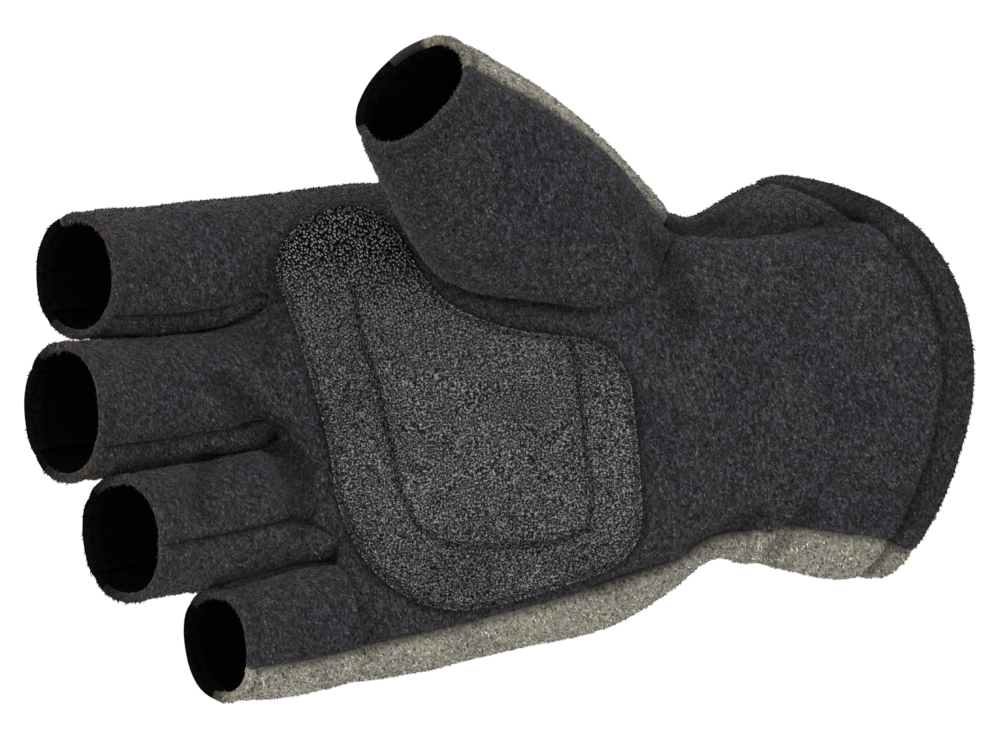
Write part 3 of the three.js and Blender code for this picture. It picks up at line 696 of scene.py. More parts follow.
def fourchette_cloth(k, step):
    """A strip between two fingers: two arms that share their row at the crotch line."""
    rows = np.concatenate([[1.0], panel_rows(step)[panel_rows(step) > 1 + 1e-9]])
    shares = steps_between(0, 1, 20, step)
    blocks, index = [], []
    for upper in (0, 1):
        grid = fourchette_point(k, upper, shares[None, :], rows[:, None])
        numbers = numbered(grid, upper * grid[..., 0].size)
        if upper:
            numbers[0] = index[0][0]
        blocks.append(grid.reshape(-1, 3))
        index.append(numbers)
    points = np.concatenate(blocks)
    faces = np.concatenate([grid_faces(index[0], True), grid_faces(index[1], False)])
    ends = marked(len(points), index[0][-1], index[1][-1])
    return Cloth(f"fourchette_{FINGERS[k]['name']}_{FINGERS[k + 1]['name']}", points, faces, ends)


def thumb_cloth(name, low, high, step):
    """Half of the thumb: phi runs from low to high, each given at the palm and at the open end."""
    rows = steps_between(0, 1, 62, step)
    share = steps_between(0, 1, abs(high[0] - low[0]) / 360 * 130, step)
    low, high = (mix(ends[0], ends[1], rows)[:, None] for ends in (low, high))
    grid = thumb_point(mix(low, high, share[None, :]), rows)
    numbers = numbered(grid)
    return Cloth(name, grid.reshape(-1, 3), grid_faces(numbers, False), marked(numbers.size, numbers[-1]))


def join(cloths, sizes):
    """Gives each sheet its relief and its tint, alike on both sides of a seam.

    The relief is along the mean of the normals of all the sheets that meet at a point.
    """
    every = np.concatenate([cloth.points for cloth in cloths])
    normals = np.concatenate([cloth.normals for cloth in cloths])
    _, back = np.unique(np.round(every, 2), axis=0, return_inverse=True)
    back = back.reshape(-1)
    total = np.zeros((back.max() + 1, 3))
    np.add.at(total, back, normals)
    mean = unit(total)[back]
    start = 0
    for cloth in cloths:
        cloth.measure(mean[start:start + len(cloth.points)])
        start += len(cloth.points)
        give_relief(cloth, sizes)
        give_tint(cloth)


def give_relief(cloth, sizes):
    """The outer face and the way in through the wall.

    Near a seam the cloth swells as a bell and then sinks as a squared distance; at an open end it has a sewn
    groove, a bell too, and a turned hem that is a little higher; all over it has a low unevenness. Beside the
    thumb's base the seam lies flatter.
    """
    depth, width = sizes.seam_depth / MM, sizes.seam_width / MM
    own, to_rim, line = cloth.own, cloth.to_rim, cloth.hem("line")
    r = np.minimum(1, cloth.to_seam / width)
    swell = 0.35 * bell(cloth.to_seam, 1.9 * width, width)
    relief = (-depth * (1 - r) ** 2 + swell) * mix(0.25, 1, ease(1, 7, to_rim)) * (1 - 0.75 * cloth.flat)
    relief = relief - cloth.hem("deep") * bell(to_rim, line, 0.9)
    relief = relief + cloth.hem("high") * ease(line, line - 1.2, to_rim)
    cloth.folds = fold_height(cloth.points, own)
    high, cloth.lines = cuff_lines(cloth.points, own)
    relief = unevenness(cloth.points, relief) + cloth.folds + high
    thick = sizes.side_fleece if cloth.name.startswith("fourchette") else sizes.fleece
    hem = np.where(cloth.at_cuff, HEMS["cuff"]["wall"], thick / MM)
    reach = mix(sizes.rim / MM, hem, ease(0, 3.0, to_rim)) / np.maximum(0.35, (own * cloth.normals).sum(-1))
    cloth.outer = cloth.points + own * relief[:, None]
    cloth.inward = -own * reach[:, None]


def give_tint(cloth):
    """The tint, and how far round to the back a turned-in edge still shows lit cloth.

    Bells paint shade along seams, sewn lines and creases and round the patch's edge; folds paint shade by
    their depth and light on their ridges; a bell paints a highlight along the thumb's lower edge, painted
    light lifts the puffed ends of the side strips, and painted shade darkens the far rims of openings. The
    hems' edges are browned by an eased distance from the rim.
    """
    place, (x, _, z) = cloth.points[:, [0, 2]], cloth.points.T
    to_back, to_rim, line = cloth.own[:, 1], cloth.to_rim, cloth.hem("line")
    # Painted shade from the cuff's lines, and along the seams, weaker where they lie flat and by the ends of
    # the side strips.
    near_end = ease(9, 3, nearest(place, FOURCHETTE_ENDS)) * ease(0.3, -0.1, to_back)
    sewn = 0.6 * (1 - 0.7 * cloth.flat) * (1 - 0.5 * near_end)
    dark = cloth.lines + sewn * bell(cloth.to_seam, 0, 0.75) * ease(0.5, 3, to_rim)
    # Painted shade on the turned hem and its sewn line, painted shade in a fold's crease and light on its
    # ridge
    dark = dark + cloth.hem("shade") * ease(line + 0.4, line - 0.4, to_rim)
    dark = dark + cloth.hem("dark") * bell(to_rim, line, cloth.hem("wide"))
    dark = dark + 0.32 * np.clip(-cloth.folds / 0.9, 0, 1.3) - 0.14 * np.clip(cloth.folds / 0.6, 0, 1)
    cloth.lit_to = np.full(len(x), 0.4)
    if cloth.name.startswith("fourchette"):
        # Painted light on the puffed ends of the side strips
        dark = dark - 0.22 * near_end
    if cloth.name == "palm_panel":
        # Painted shadow round the patch's edge on the fleece
        to_patch = nearest(place, closed_curve(PATCH_OUTLINE, PATCH_CORNERS))
        dark = dark + 0.45 * bell(to_patch, 0, 1.3) * ease(0.2, -0.2, to_back)
    if cloth.name == "back_panel":
        cloth.lit_to = np.full(len(x), 0.15)
        # Painted shade on the rim by the little finger's open end
        by_little_end = (x < -140) & (z < -50)
        dark = dark + 0.55 * ease(-0.2, 0.12, to_back) * ease(5, 3, to_rim) * by_little_end
        # Painted shade in the crease by the wrist
        dark = dark + 0.5 * bell(nearest(place, WRIST_CREASE), 0, 0.6)
    if cloth.name == "thumb_back":
        cloth.lit_to = np.where(z > 69, 0.97, 0.0)
        dark = dark + 0.3 * ease(5.0, 3.0, to_rim)
    if cloth.name.startswith("thumb"):
        # A painted highlight along the thumb's lower edge, where it catches the light
        pale = bell(to_back, -0.1, 0.2) * ease(-0.3, -0.5, cloth.own[:, 2])
        dark = dark - 1.2 * pale * ease(-90, -98, x) * ease(2.0, 8.0, to_rim)
    # Painted shade on the far rims of the openings
    dark = dark + 0.85 * far_rim(cloth, x, z)
    # The browned edge shows most where the cloth is seen edge on.
    edge_on = np.where(cloth.at_cuff, 0.35, mix(0.15, 1.0, ease(0.35, 0.8, np.abs(cloth.own[:, 2]))))
    by_ring_and_little = (x > -162) & (x < FINGERS_TO) & (z < -40)
    browned = edge_on * ease(5.5, 0.8, to_rim) * BROWNED_SHARE.get(cloth.name, 1) * mix(1, 0.4, by_ring_and_little)
    cloth.tint = (1 - np.minimum(dark, DARKEST))[:, None] * mix(PLAIN_TINT, HEM_TINT, browned[:, None])


def far_rim(cloth, x, z):
    """Painted shade: 1 on an opening's far rim, which the front looks past into the dark, eased to 0 away."""
    to_back, to_rim, finger = cloth.own[:, 1], cloth.to_rim, x < FINGERS_TO
    away = ease(-0.1, 0.4, to_back) * ease(4.0, 2.6, to_rim) * finger
    if cloth.name == "back_panel":
        away = np.maximum(away, ease(6.5, 4.5, to_rim) * finger * (z > -50))
    if cloth.name == "thumb_back":
        away = np.maximum(away, ease(-101, -110, x) * ease(5.5, 4.0, to_rim) * mix(1, 0.35, ease(64, 70, z)))
        away = np.maximum(away, 0.9 * ease(-92, -97, x) * ease(60, 50, z) * ease(0.6, 0.2, to_back))
    return away * np.maximum(ease(0.95, 0.65, to_back), ease(1.3, 0.5, to_rim))


def drawn_back(cloth, bulge):
    """Outer points with the border pulled back within the sheet, and the way out from each border point."""
    centres = cloth.outer[cloth.faces].mean(1)
    pull = np.zeros_like(cloth.outer)
    for k in range(4):
        corner = cloth.faces[:, k]
        np.add.at(pull, corner, unit(centres - cloth.outer[corner]))
    run = np.zeros_like(cloth.outer)
    along = unit(cloth.outer[cloth.edges[:, 1]] - cloth.outer[cloth.edges[:, 0]])
    np.add.at(run, cloth.edges[:, 0], along)
    np.add.at(run, cloth.edges[:, 1], along)
    border = np.unique(cloth.edges)
    run = unit(run[border])
    inwards = unit(pull[border] - run * (pull[border] * run).sum(-1, keepdims=True))
    outer = cloth.outer.copy()
    outer[border] += inwards * bulge[border][:, None]
    return outer, border, -inwards


def wall(cloth):
    """The closed wall: outer face, inner face, and a rounded border of half ellipses between them."""
    bulge = np.where(cloth.open_end, 0.55, 0.25)
    outer, border, away = drawn_back(cloth, bulge)
    inner = outer + cloth.inward
    n = len(outer)
    turns = np.linspace(0, math.pi, 7)[1:-1]
    middle = (outer[border] + inner[border]) / 2
    half = outer[border] - middle
    rings = [middle + half * math.cos(f) + away * (bulge[border] * math.sin(f))[:, None] for f in turns]
    points = np.concatenate([outer, inner, *rings])
    place = np.full(n, -1)
    place[border] = np.arange(len(border))
    levels = [lambda v: v] + [lambda v, k=k: 2 * n + k * len(border) + place[v] for k in range(len(turns))]
    levels.append(lambda v: v + n)
    a, b = cloth.edges[:, 0], cloth.edges[:, 1]
    strips = [np.stack([low(b), low(a), high(a), high(b)], -1) for low, high in zip(levels[:-1], levels[1:])]
    faces = np.concatenate([cloth.faces, cloth.faces[:, ::-1] + n, *strips])
    # Painted shade: black on the inner face near the open ends and on the rim's far strips, apart from the
    # turned-in edge
    painted_black = np.zeros(len(faces), np.int32)
    faces_front = cloth.own[:, 1] <= cloth.lit_to
    unlit = ~((cloth.to_rim < TURNED_IN) & faces_front) & (cloth.to_rim < UNLIT_TO)
    painted_black[len(cloth.faces):2 * len(cloth.faces)] = unlit[cloth.faces[:, ::-1]].any(1)
    on_rim = cloth.open_end[a] & cloth.open_end[b]
    first_dark = np.where(on_rim, np.where(faces_front[a], len(strips), 1), 2)
    for k in range(len(strips)):
        begin = 2 * len(cloth.faces) + k * len(cloth.edges)
        painted_black[begin:begin + len(cloth.edges)] = (k >= first_dark) & (cloth.to_rim[a] < UNLIT_TO)
    sources = np.concatenate([np.arange(n), np.arange(n), *[border] * len(turns)])
    return points, faces, painted_black, sources


def nap(cloth, points, faces, sources, sizes):
    """Loose nap: three-cornered tufts, each rooted at random in the cloth and leaning with the brushing.

    A tuft stands for a pinch of fibres, each too fine to show. Its tip is its root plus its length along the
    lean times a cosine, plus its length along the cloth's normal times a sine; its two root corners lie half
    a width to either side.
    """
    chance = np.random.default_rng(len(cloth.points))
    normals, facing = mean_normals(points, faces)
    area = np.linalg.norm(facing, axis=1) / 2
    count = int(min(NAP_MOST, sizes.nap_count * area.sum()))
    face = chance.choice(len(area), count, p=area / area.sum())
    u, v = chance.random((2, count, 1))

    def within(values):
        low = mix(values[faces[face, 0]], values[faces[face, 1]], u)
        return mix(low, mix(values[faces[face, 3]], values[faces[face, 2]], u), v)

    root, up, tint = within(points), unit(within(normals)), within(cloth.tint[sources])
    seam = within(cloth.to_seam[sources][:, None])[:, 0]
    keep = (seam > 0.35) & (tint.max(1) > NAP_TINT)
    if cloth.name == "palm_panel":
        keep &= ~(within_loop(root[:, [0, 2]], PATCH_OUTLINE) & (up[:, 1] < 0))
    root, up, tint = root[keep], up[keep], tint[keep]
    count = len(root)
    lean = NAP_LEAN + chance.normal(0, 0.55, (count, 3))
    lean = unit(lean - up * (lean * up).sum(1, keepdims=True))
    across = np.cross(lean, up)
    length = sizes.nap_length / MM * chance.uniform(0.55, 1.25, (count, 1))
    rise = chance.uniform(0.12, 0.62, (count, 1))
    half = sizes.nap_width / MM / 2 * chance.uniform(0.6, 1.3, (count, 1))
    base = root - up * 0.06
    tip = root + lean * length * np.cos(rise) + up * length * np.sin(rise)
    tuft = np.stack([base + across * half, base - across * half, tip], 1)
    bright = np.minimum(np.exp(chance.normal(-0.2, 0.75, (count, 1))), 2.6)
    tints = np.repeat(tint * bright, 3, axis=0)
    corners = np.arange(count * 3).reshape(-1, 3)
    flat = np.cross(tuft[:, 1] - tuft[:, 0], tuft[:, 2] - tuft[:, 0])
    corners = np.where((flat * up).sum(1, keepdims=True) > 0, corners, corners[:, ::-1])
    return tuft.reshape(-1, 3), corners, tints


# The palm patch

def palm_skin(across, v):
    """A point of the palm panel; across runs from 0 to 4 over the four fingers' shares."""
    out = np.zeros(across.shape + (3,))
    block = np.clip(np.floor(across).astype(int), 0, 3)
    for i in range(4):
        here = block == i
        if here.any():
            out[here] = panel_point("front", i, across[here] - i, v[here])
    return out


def powers(x, z):
    """Products of powers of x and z up to the seventh degree, from places scaled to about -1 to 1."""
    x, z = (x + 92) / 45, (z + 9) / 45
    return np.stack([x ** i * z ** j for i in range(8) for j in range(8 - i)], -1)


def on_palm(x, z):
    """The palm's skin and its outward normal at places seen from the front.

    Depth is a polynomial in x and z, fitted by least squares to the palm's skin under the patch; the normal
    is its gradient.
    """
    across, v = np.meshgrid(np.linspace(0.05, 3.95, 90), np.linspace(0.3, 1.0, 90))
    skin = palm_skin(across.reshape(-1), v.reshape(-1))
    near = PATCH_MIDDLE + (PATCH_OUTLINE - PATCH_MIDDLE) * 1.12
    skin = skin[within_loop(skin[:, [0, 2]], near)]
    weights = np.linalg.lstsq(powers(skin[:, 0], skin[:, 2]), skin[:, 1], rcond=None)[0]
    here = np.stack([x, powers(x, z) @ weights, z], -1)
    tiny = 0.05
    slope_x = (powers(x + tiny, z) - powers(x - tiny, z)) @ weights / (2 * tiny)
    slope_z = (powers(x, z + tiny) - powers(x, z - tiny)) @ weights / (2 * tiny)
    normal = unit(np.stack([slope_x, -np.ones_like(x), slope_z], -1))
    return here + normal * unevenness(here, fold_height(here, normal))[:, None], normal


def closed_curve(rows, count):
    """An even closed curve through the rows: a smooth curve over the run between them."""
    rows = np.concatenate([rows[-3:], rows, rows[:4]])
    run = run_along(rows)
    fine = np.linspace(run[3], run[-4], count * 6 + 1)
    points = smooth(run, rows, fine)
    length = run_along(points)
    even = np.linspace(0, length[-1], count, endpoint=False)
    return np.stack([np.interp(even, length, points[:, k]) for k in (0, 1)], -1)


def even_curve(rows, pitch):
    """Places at an even pitch along an open smooth curve through the rows."""
    run = run_along(rows)
    points = smooth(run, rows, np.linspace(0, run[-1], 900))
    length = run_along(points)
    even = np.arange(pitch / 2, length[-1], pitch)
    return np.stack([np.interp(even, length, points[:, k]) for k in (0, 1)], -1)


def inset(curve, distance):
    """A closed curve moved inwards along its normals."""
    run = unit(np.roll(curve, -1, 0) - np.roll(curve, 1, 0))
    sideways = np.stack([-run[:, 1], run[:, 0]], -1)
    inwards = np.where(((PATCH_MIDDLE - curve) * sideways).sum(1, keepdims=True) > 0, sideways, -sideways)
    return curve + inwards * distance


def patch_mesh(sizes):
    """The patch: rings from its rounded edge to its middle, raised from the palm's skin, with sewn grooves.

    Height over the skin is the lift plus the thickness, less a quarter circle at the edge and a bell along
    each line of stitches, with a lower bell that swells beside it. The underside is the same rings at the
    lift alone. Painted shade darkens the tint as a bell along the stitches and as an eased step at the edge.
    """
    count = PATCH_CORNERS
    edge = closed_curve(PATCH_OUTLINE, count)
    rings = [inset(edge, depth) for depth in PATCH_DEPTHS]
    rings += [mix(rings[-1], PATCH_MIDDLE, share) for share in np.linspace(0, 1, PATCH_RINGS)[1:-1]]
    flat = np.concatenate([*rings, PATCH_MIDDLE[None]])
    skin, normal = on_palm(flat[:, 0], flat[:, 1])
    lift, thick, stitch = sizes.patch_lift / MM, sizes.patch / MM, sizes.edge_stitch / MM
    inside = np.full(len(flat), 60.0)
    inside[:count * len(PATCH_DEPTHS)] = np.repeat(PATCH_DEPTHS, count)
    to_line = nearest(flat, even_curve(PATCH_INNER_LINE, 0.5))
    high = lift + thick * np.sqrt(np.clip(1 - (1 - np.minimum(1, inside / 0.7)) ** 2, 0, 1))
    high = high - 0.42 * bell(inside, stitch, 0.45) - 0.42 * bell(to_line, 0, 0.6)
    high = high + 0.30 * bell(inside - stitch, 1.7, 1.0) + 0.22 * bell(to_line, 1.8, 0.9)
    # Painted shade in the stitches' grooves and round the patch's edge
    sunk = 0.7 * bell(inside, stitch, 0.35) + 0.95 * bell(to_line, 0, 0.55)
    sunk = sunk + 0.75 * ease(0.3, 0.05, inside)
    tint = np.repeat(1 - np.minimum(sunk, 0.95)[:, None], 3, axis=1)
    top = skin + normal * np.maximum(high, lift + 0.05)[:, None]
    under = skin + normal * lift
    n = len(flat)
    numbers = np.arange(n - 1).reshape(-1, count)
    a, b = numbers, np.roll(numbers, -1, 1)
    quads = np.stack([a[:-1], b[:-1], b[1:], a[1:]], -1).reshape(-1, 4)
    fan = np.stack([a[-1], b[-1], np.full(count, n - 1)], -1)
    side = np.stack([b[0] + n, b[0], a[0], a[0] + n], -1)
    quads = np.concatenate([quads, quads[:, ::-1] + n, side])
    fan = np.concatenate([fan, fan[:, ::-1] + n])
    if np.cross(top[b[-1, 0]] - top[a[-1, 0]], top[n - 1] - top[a[-1, 0]])[1] > 0:
        quads, fan = quads[:, ::-1], fan[:, ::-1]
    return np.concatenate([top, under]), quads, fan, np.concatenate([tint, tint])


def stitch_mesh(places, ahead, up, length, thread):
    """A run of stitches: each is a six-sided tube along an arc that dips into the cloth at both ends."""
    sections, sides = 7, 6
    share = np.linspace(-1, 1, sections)
    turn = np.linspace(0, 2 * math.pi, sides, endpoint=False)
    along = share * length / 2
    high = thread * (0.35 - 1.1 * share ** 4)
    radius = thread / 2 * np.sqrt(np.clip(1.05 - share ** 6, 0.05, 1))
    across = unit(np.cross(ahead, up))
    centre = (places[:, None] + ahead[:, None] * along[None, :, None] + up[:, None] * high[None, :, None])
    ring = (across[:, None, None] * np.cos(turn)[None, None, :, None]
            + up[:, None, None] * np.sin(turn)[None, None, :, None]) * radius[None, :, None, None]
    points = (centre[:, :, None] + ring).reshape(-1, 3)
    index = np.arange(sections * sides).reshape(sections, sides)
    a, b = index[:-1], np.roll(index, -1, 1)[:-1]
    c, d = np.roll(index, -1, 1)[1:], index[1:]
    tube = np.stack([a, b, c, d], -1).reshape(-1, 4)
    caps = np.array([[3, 2, 1, 0], [5, 4, 3, 0]])
    caps = np.concatenate([caps, np.array([[0, 1, 2, 3], [0, 3, 4, 5]]) + (sections - 1) * sides])
    one = np.concatenate([tube, caps])[:, ::-1]
    shift = np.arange(len(places)) * sections * sides
    faces = (one[None] + shift[:, None, None]).reshape(-1, 4)
    return points, faces


# Into Blender

def put_mesh(name, points, faces, material_index=None, materials=(), smooth_shaded=True):
    """A mesh object at the origin from points in millimetres and lists of faces of three or four corners."""
    mesh = bpy.data.meshes.new(name)
    groups = faces if isinstance(faces, (list, tuple)) else [faces]
    corners = np.concatenate([np.asarray(g).reshape(-1) for g in groups]).astype(np.int32)
    sizes = np.concatenate([np.full(len(g), g.shape[1]) for g in groups]).astype(np.int32)
    starts = np.concatenate([[0], np.cumsum(sizes)[:-1]]).astype(np.int32)
    mesh.vertices.add(len(points))
    mesh.vertices.foreach_set("co", (np.asarray(points) * MM).astype(np.float32).reshape(-1))
    mesh.loops.add(len(corners))
    mesh.loops.foreach_set("vertex_index", corners)
    mesh.polygons.add(len(sizes))
    mesh.polygons.foreach_set("loop_start", starts)
    mesh.polygons.foreach_set("loop_total", sizes)
    for material in materials:
        mesh.materials.append(material)
    if material_index is not None:
        mesh.polygons.foreach_set("material_index", np.asarray(material_index, np.int32))
    mesh.polygons.foreach_set("use_smooth", np.full(len(sizes), smooth_shaded))
    mesh.update(calc_edges=True)
    mesh.validate()
    piece = bpy.data.objects.new(name, mesh)
    bpy.context.scene.collection.objects.link(piece)
    return piece


def put_tint(piece, tint):
    """Keeps a colour for every point, which the material multiplies its own colour by."""
    layer = piece.data.attributes.new("tint", "FLOAT_COLOR", "POINT")
    colours = np.concatenate([tint, np.ones((len(tint), 1))], 1)
    layer.data.foreach_set("color", colours.astype(np.float32).reshape(-1))


# Materials

def node(tree, kind, settings=None, links=None):
    """Adds a node, sets its attributes, colour stops and sockets, and links its inputs to other outputs."""
    made = tree.nodes.new(kind)
    for key, value in (settings or {}).items():
        if key == "stops":
            elements = made.color_ramp.elements
            while len(elements) < len(value):
                elements.new(0.5)
            for element, (place, colour) in zip(elements, value):
                element.position, element.color = place, colour
        elif isinstance(key, str) and key not in made.inputs:
            setattr(made, key, value)
        else:
            made.inputs[key].default_value = value
    for key, source in (links or {}).items():
        tree.links.new(source, made.inputs[key])
    return made


def new_material(name, sockets):
    """A material with its shader, whose even values are set on its sockets, and the places on the object."""
    material = bpy.data.materials.new(name)
    material.use_nodes = True
    tree = material.node_tree
    tree.nodes.clear()
    shader = node(tree, "ShaderNodeBsdfPrincipled", sockets)
    node(tree, "ShaderNodeOutputMaterial", {}, {"Surface": shader.outputs["BSDF"]})
    return material, tree, shader, node(tree, "ShaderNodeTexCoord").outputs["Object"]


def tones(colour, *stops):
    """Stops for a colour ramp: at each place the colour times a factor, at most 1."""
    return [(place, tuple(min(1.0, c * factor) for c in colour[:3]) + (1.0,)) for place, factor in stops]


MULTIPLY = {"data_type": "RGBA", "blend_type": "MULTIPLY", 0: 1.0}


def brushed_fleece(name, colour, contrast, sheen):
    """Polyester fleece, knitted and then brushed: matt, with clumps of nap under a millimetre across.

    The eye sees a fine salt-and-pepper grain with no weave, soft edges and a faint pale bloom at a slant.
    """
    material, tree, shader, place = new_material(name, {
        "Roughness": 1.0, "Specular IOR Level": 0.12, "Sheen Weight": sheen, "Sheen Roughness": 0.45,
        "Sheen Tint": linear(0xe7e7ee)})
    # A fibre is about 0.02 mm thick, too fine to show, so the grain is drawn as tufts of 0.4 and 0.9 mm.
    brushed = node(tree, "ShaderNodeMapping", {
        "vector_type": "TEXTURE", "Rotation": (0, -0.36, 0), "Scale": (1, 1, 2)},
        {"Vector": place}).outputs[0]
    clumps, fibres, cloudy = (
        node(tree, "ShaderNodeTexNoise", {"Scale": 1 / size, "Detail": detail, "Roughness": rough},
             {"Vector": where}).outputs["Fac"]
        for size, detail, rough, where in (
            (0.0009, 3.0, 0.62, brushed), (0.0004, 2.0, 0.6, brushed), (0.014, 2.0, 0.5, place)))
    half = node(tree, "ShaderNodeMath", {"operation": "MULTIPLY", 1: 0.45}, {0: clumps}).outputs[0]
    grain = node(tree, "ShaderNodeMath", {"operation": "MULTIPLY_ADD", 1: 0.55},
                 {0: fibres, 2: half}).outputs[0]
    nap_tone = node(tree, "ShaderNodeValToRGB", {
        "stops": tones(colour, (0.36, 1 / contrast), (0.5, 1), (0.64, contrast))}, {"Fac": grain})
    patchy = node(tree, "ShaderNodeValToRGB", {"stops": [
        (0.3, (0.86, 0.86, 0.88, 1)), (0.7, (1.12, 1.11, 1.08, 1))]}, {"Fac": cloudy})
    tone = node(tree, "ShaderNodeMix", MULTIPLY, {6: nap_tone.outputs[0], 7: patchy.outputs[0]}).outputs[2]
    tint = node(tree, "ShaderNodeAttribute", {"attribute_name": "tint"}).outputs["Color"]
    tinted = node(tree, "ShaderNodeMix", MULTIPLY, {6: tone, 7: tint}).outputs[2]
    bump = node(tree, "ShaderNodeBump", {"Strength": 0.85, "Distance": 0.00035}, {"Height": grain})
    tree.links.new(tinted, shader.inputs["Base Color"])
    tree.links.new(bump.outputs["Normal"], shader.inputs["Normal"])
    return material


def pebbled_leatherette(name, colour):
    """Polyurethane leatherette embossed with pebbles under a millimetre across.

    The eye sees a dense sparkle of black pits and grey crowns, which thins towards the index finger to
    separate bright dots in slanting rows. The colour holds the grain's own tone and painted light: painted
    shade in the pits, and painted highlights on the crowns and dots.
    """
    material, tree, shader, place = new_material(name, {"Roughness": 0.5, "Specular IOR Level": 0.02})
    parts = node(tree, "ShaderNodeSeparateXYZ", {}, {"Vector": place}).outputs
    flat = node(tree, "ShaderNodeCombineXYZ", {}, {"X": parts["X"], "Y": parts["Z"]}).outputs[0]
    slanted = node(tree, "ShaderNodeMapping", {
        "vector_type": "TEXTURE", "Rotation": (0, 0, 0.65), "Scale": (1, 1.6, 1)},
        {"Vector": flat}).outputs[0]
    pits = node(tree, "ShaderNodeTexNoise", {
        "Scale": 1 / 0.00043, "Detail": 1.5, "Roughness": 0.6}, {"Vector": place}).outputs["Fac"]
    wide = node(tree, "ShaderNodeTexNoise", {"Scale": 1 / 0.02, "Detail": 2.0}, {"Vector": place}).outputs[0]
    rows = node(tree, "ShaderNodeTexVoronoi", {
        "voronoi_dimensions": "2D", "feature": "F1", "Scale": 1 / 0.00052, "Randomness": 1.0},
        {"Vector": slanted}).outputs
    # Ramps of the grain's own tone with painted shade in the pits and painted highlights on the crowns and
    # dots
    dense, dots, each_dot, patchy = (
        node(tree, "ShaderNodeValToRGB", {"stops": stops}, {"Fac": factor}).outputs[0]
        for factor, stops in (
            (pits, tones(colour, (0.36, 0.12), (0.48, 0.75), (0.58, 3.0), (0.72, 9.6))),
            (rows["Distance"], tones(colour, (0.05, 9.0), (0.22, 3.4), (0.34, 0.6), (0.48, 0.04))),
            (rows["Color"], [(0.2, (0.25, 0.25, 0.25, 1)), (0.8, (1.5, 1.5, 1.5, 1))]),
            (wide, [(0.35, (0.8, 0.8, 0.8, 1)), (0.65, (1.15, 1.15, 1.15, 1))])))
    varied = node(tree, "ShaderNodeMix", MULTIPLY, {6: dots, 7: each_dot}).outputs[2]
    top = node(tree, "ShaderNodeMapRange", {"From Min": -0.002, "From Max": 0.026}, {"Value": parts["Z"]})
    tone = node(tree, "ShaderNodeMix", {"data_type": "RGBA"},
                {0: top.outputs[0], 6: dense, 7: varied}).outputs[2]
    tint = node(tree, "ShaderNodeAttribute", {"attribute_name": "tint"}).outputs["Color"]
    for factor in (patchy, tint):
        tone = node(tree, "ShaderNodeMix", MULTIPLY, {6: tone, 7: factor}).outputs[2]
    bump = node(tree, "ShaderNodeBump", {"Strength": 0.8, "Distance": 0.0003}, {"Height": pits})
    tree.links.new(tone, shader.inputs["Base Color"])
    tree.links.new(bump.outputs["Normal"], shader.inputs["Normal"])
    return material


def one_noise(name, size, detail, stops, roughness, specular, strength=0.0):
    """A finish whose tone, and bump if it has one, follow one noise of the given size in metres."""
    sockets = {"Roughness": roughness, "Specular IOR Level": specular}
    material, tree, shader, place = new_material(name, sockets)
    noise = node(tree, "ShaderNodeTexNoise", {"Scale": 1 / size, "Detail": detail},
                 {"Vector": place}).outputs[0]
    tone = node(tree, "ShaderNodeValToRGB", {"stops": stops}, {"Fac": noise})
    tree.links.new(tone.outputs[0], shader.inputs["Base Color"])
    if strength:
        bump = node(tree, "ShaderNodeBump", {"Strength": strength, "Distance": 0.0001}, {"Height": noise})
        tree.links.new(bump.outputs["Normal"], shader.inputs["Normal"])
    return material


def unlit_lining(name):
    """The brushed inner face deep in the glove, painted near-black as shade, as so little light reaches it.
    """
    return one_noise(name, 0.001, 2.0, [(0.35, linear(0x050505)), (0.65, linear(0x0c0c0c))], 1.0, 0.0)


def twisted_thread(name, colour):
    """Bonded polyester thread: dark, slightly glossy, with a fine twist."""
    return one_noise(name, 0.0003, 1.0, tones(colour, (0.35, 0.6), (0.65, 1.7)), 0.5, 0.4, 0.5)


def pale_ground(name):
    """A matt white studio sweep with a trace of unevenness."""
    return one_noise(name, 1 / 30, 2.0, [(0.3, linear(0xfbfbfb)), (0.7, linear(0xfdfdfd))], 0.9, 0.1)


def finish_of(name, make, *settings):
    """A material by name, made the first time it is asked for."""
    return bpy.data.materials.get(name) or make(name, *settings)


# Operators: one for each group of pieces

def put_cloth(cloth, outside, sizes):
    """The sheet's wall, which replaces its node, and its loose nap on the outer face and the lit rims."""
    points, faces, painted_black, sources = wall(cloth)
    inside = finish_of("unlit_fleece_lining", unlit_lining)
    piece = put_mesh(cloth.name + "_cloth", points, faces, painted_black, [outside, inside])
    put_tint(piece, cloth.tint[sources])
    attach(piece, "root")
    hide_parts(cloth.name)
    sheet = len(cloth.faces)
    shown = np.concatenate([np.arange(sheet), 2 * sheet + np.flatnonzero(painted_black[2 * sheet:] == 0)])
    points, faces, tint = nap(cloth, points, faces[shown], sources, sizes)
    tufts = put_mesh(cloth.name + "_nap", points, faces, None, [outside], False)
    put_tint(tufts, tint)
    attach(tufts, "root")


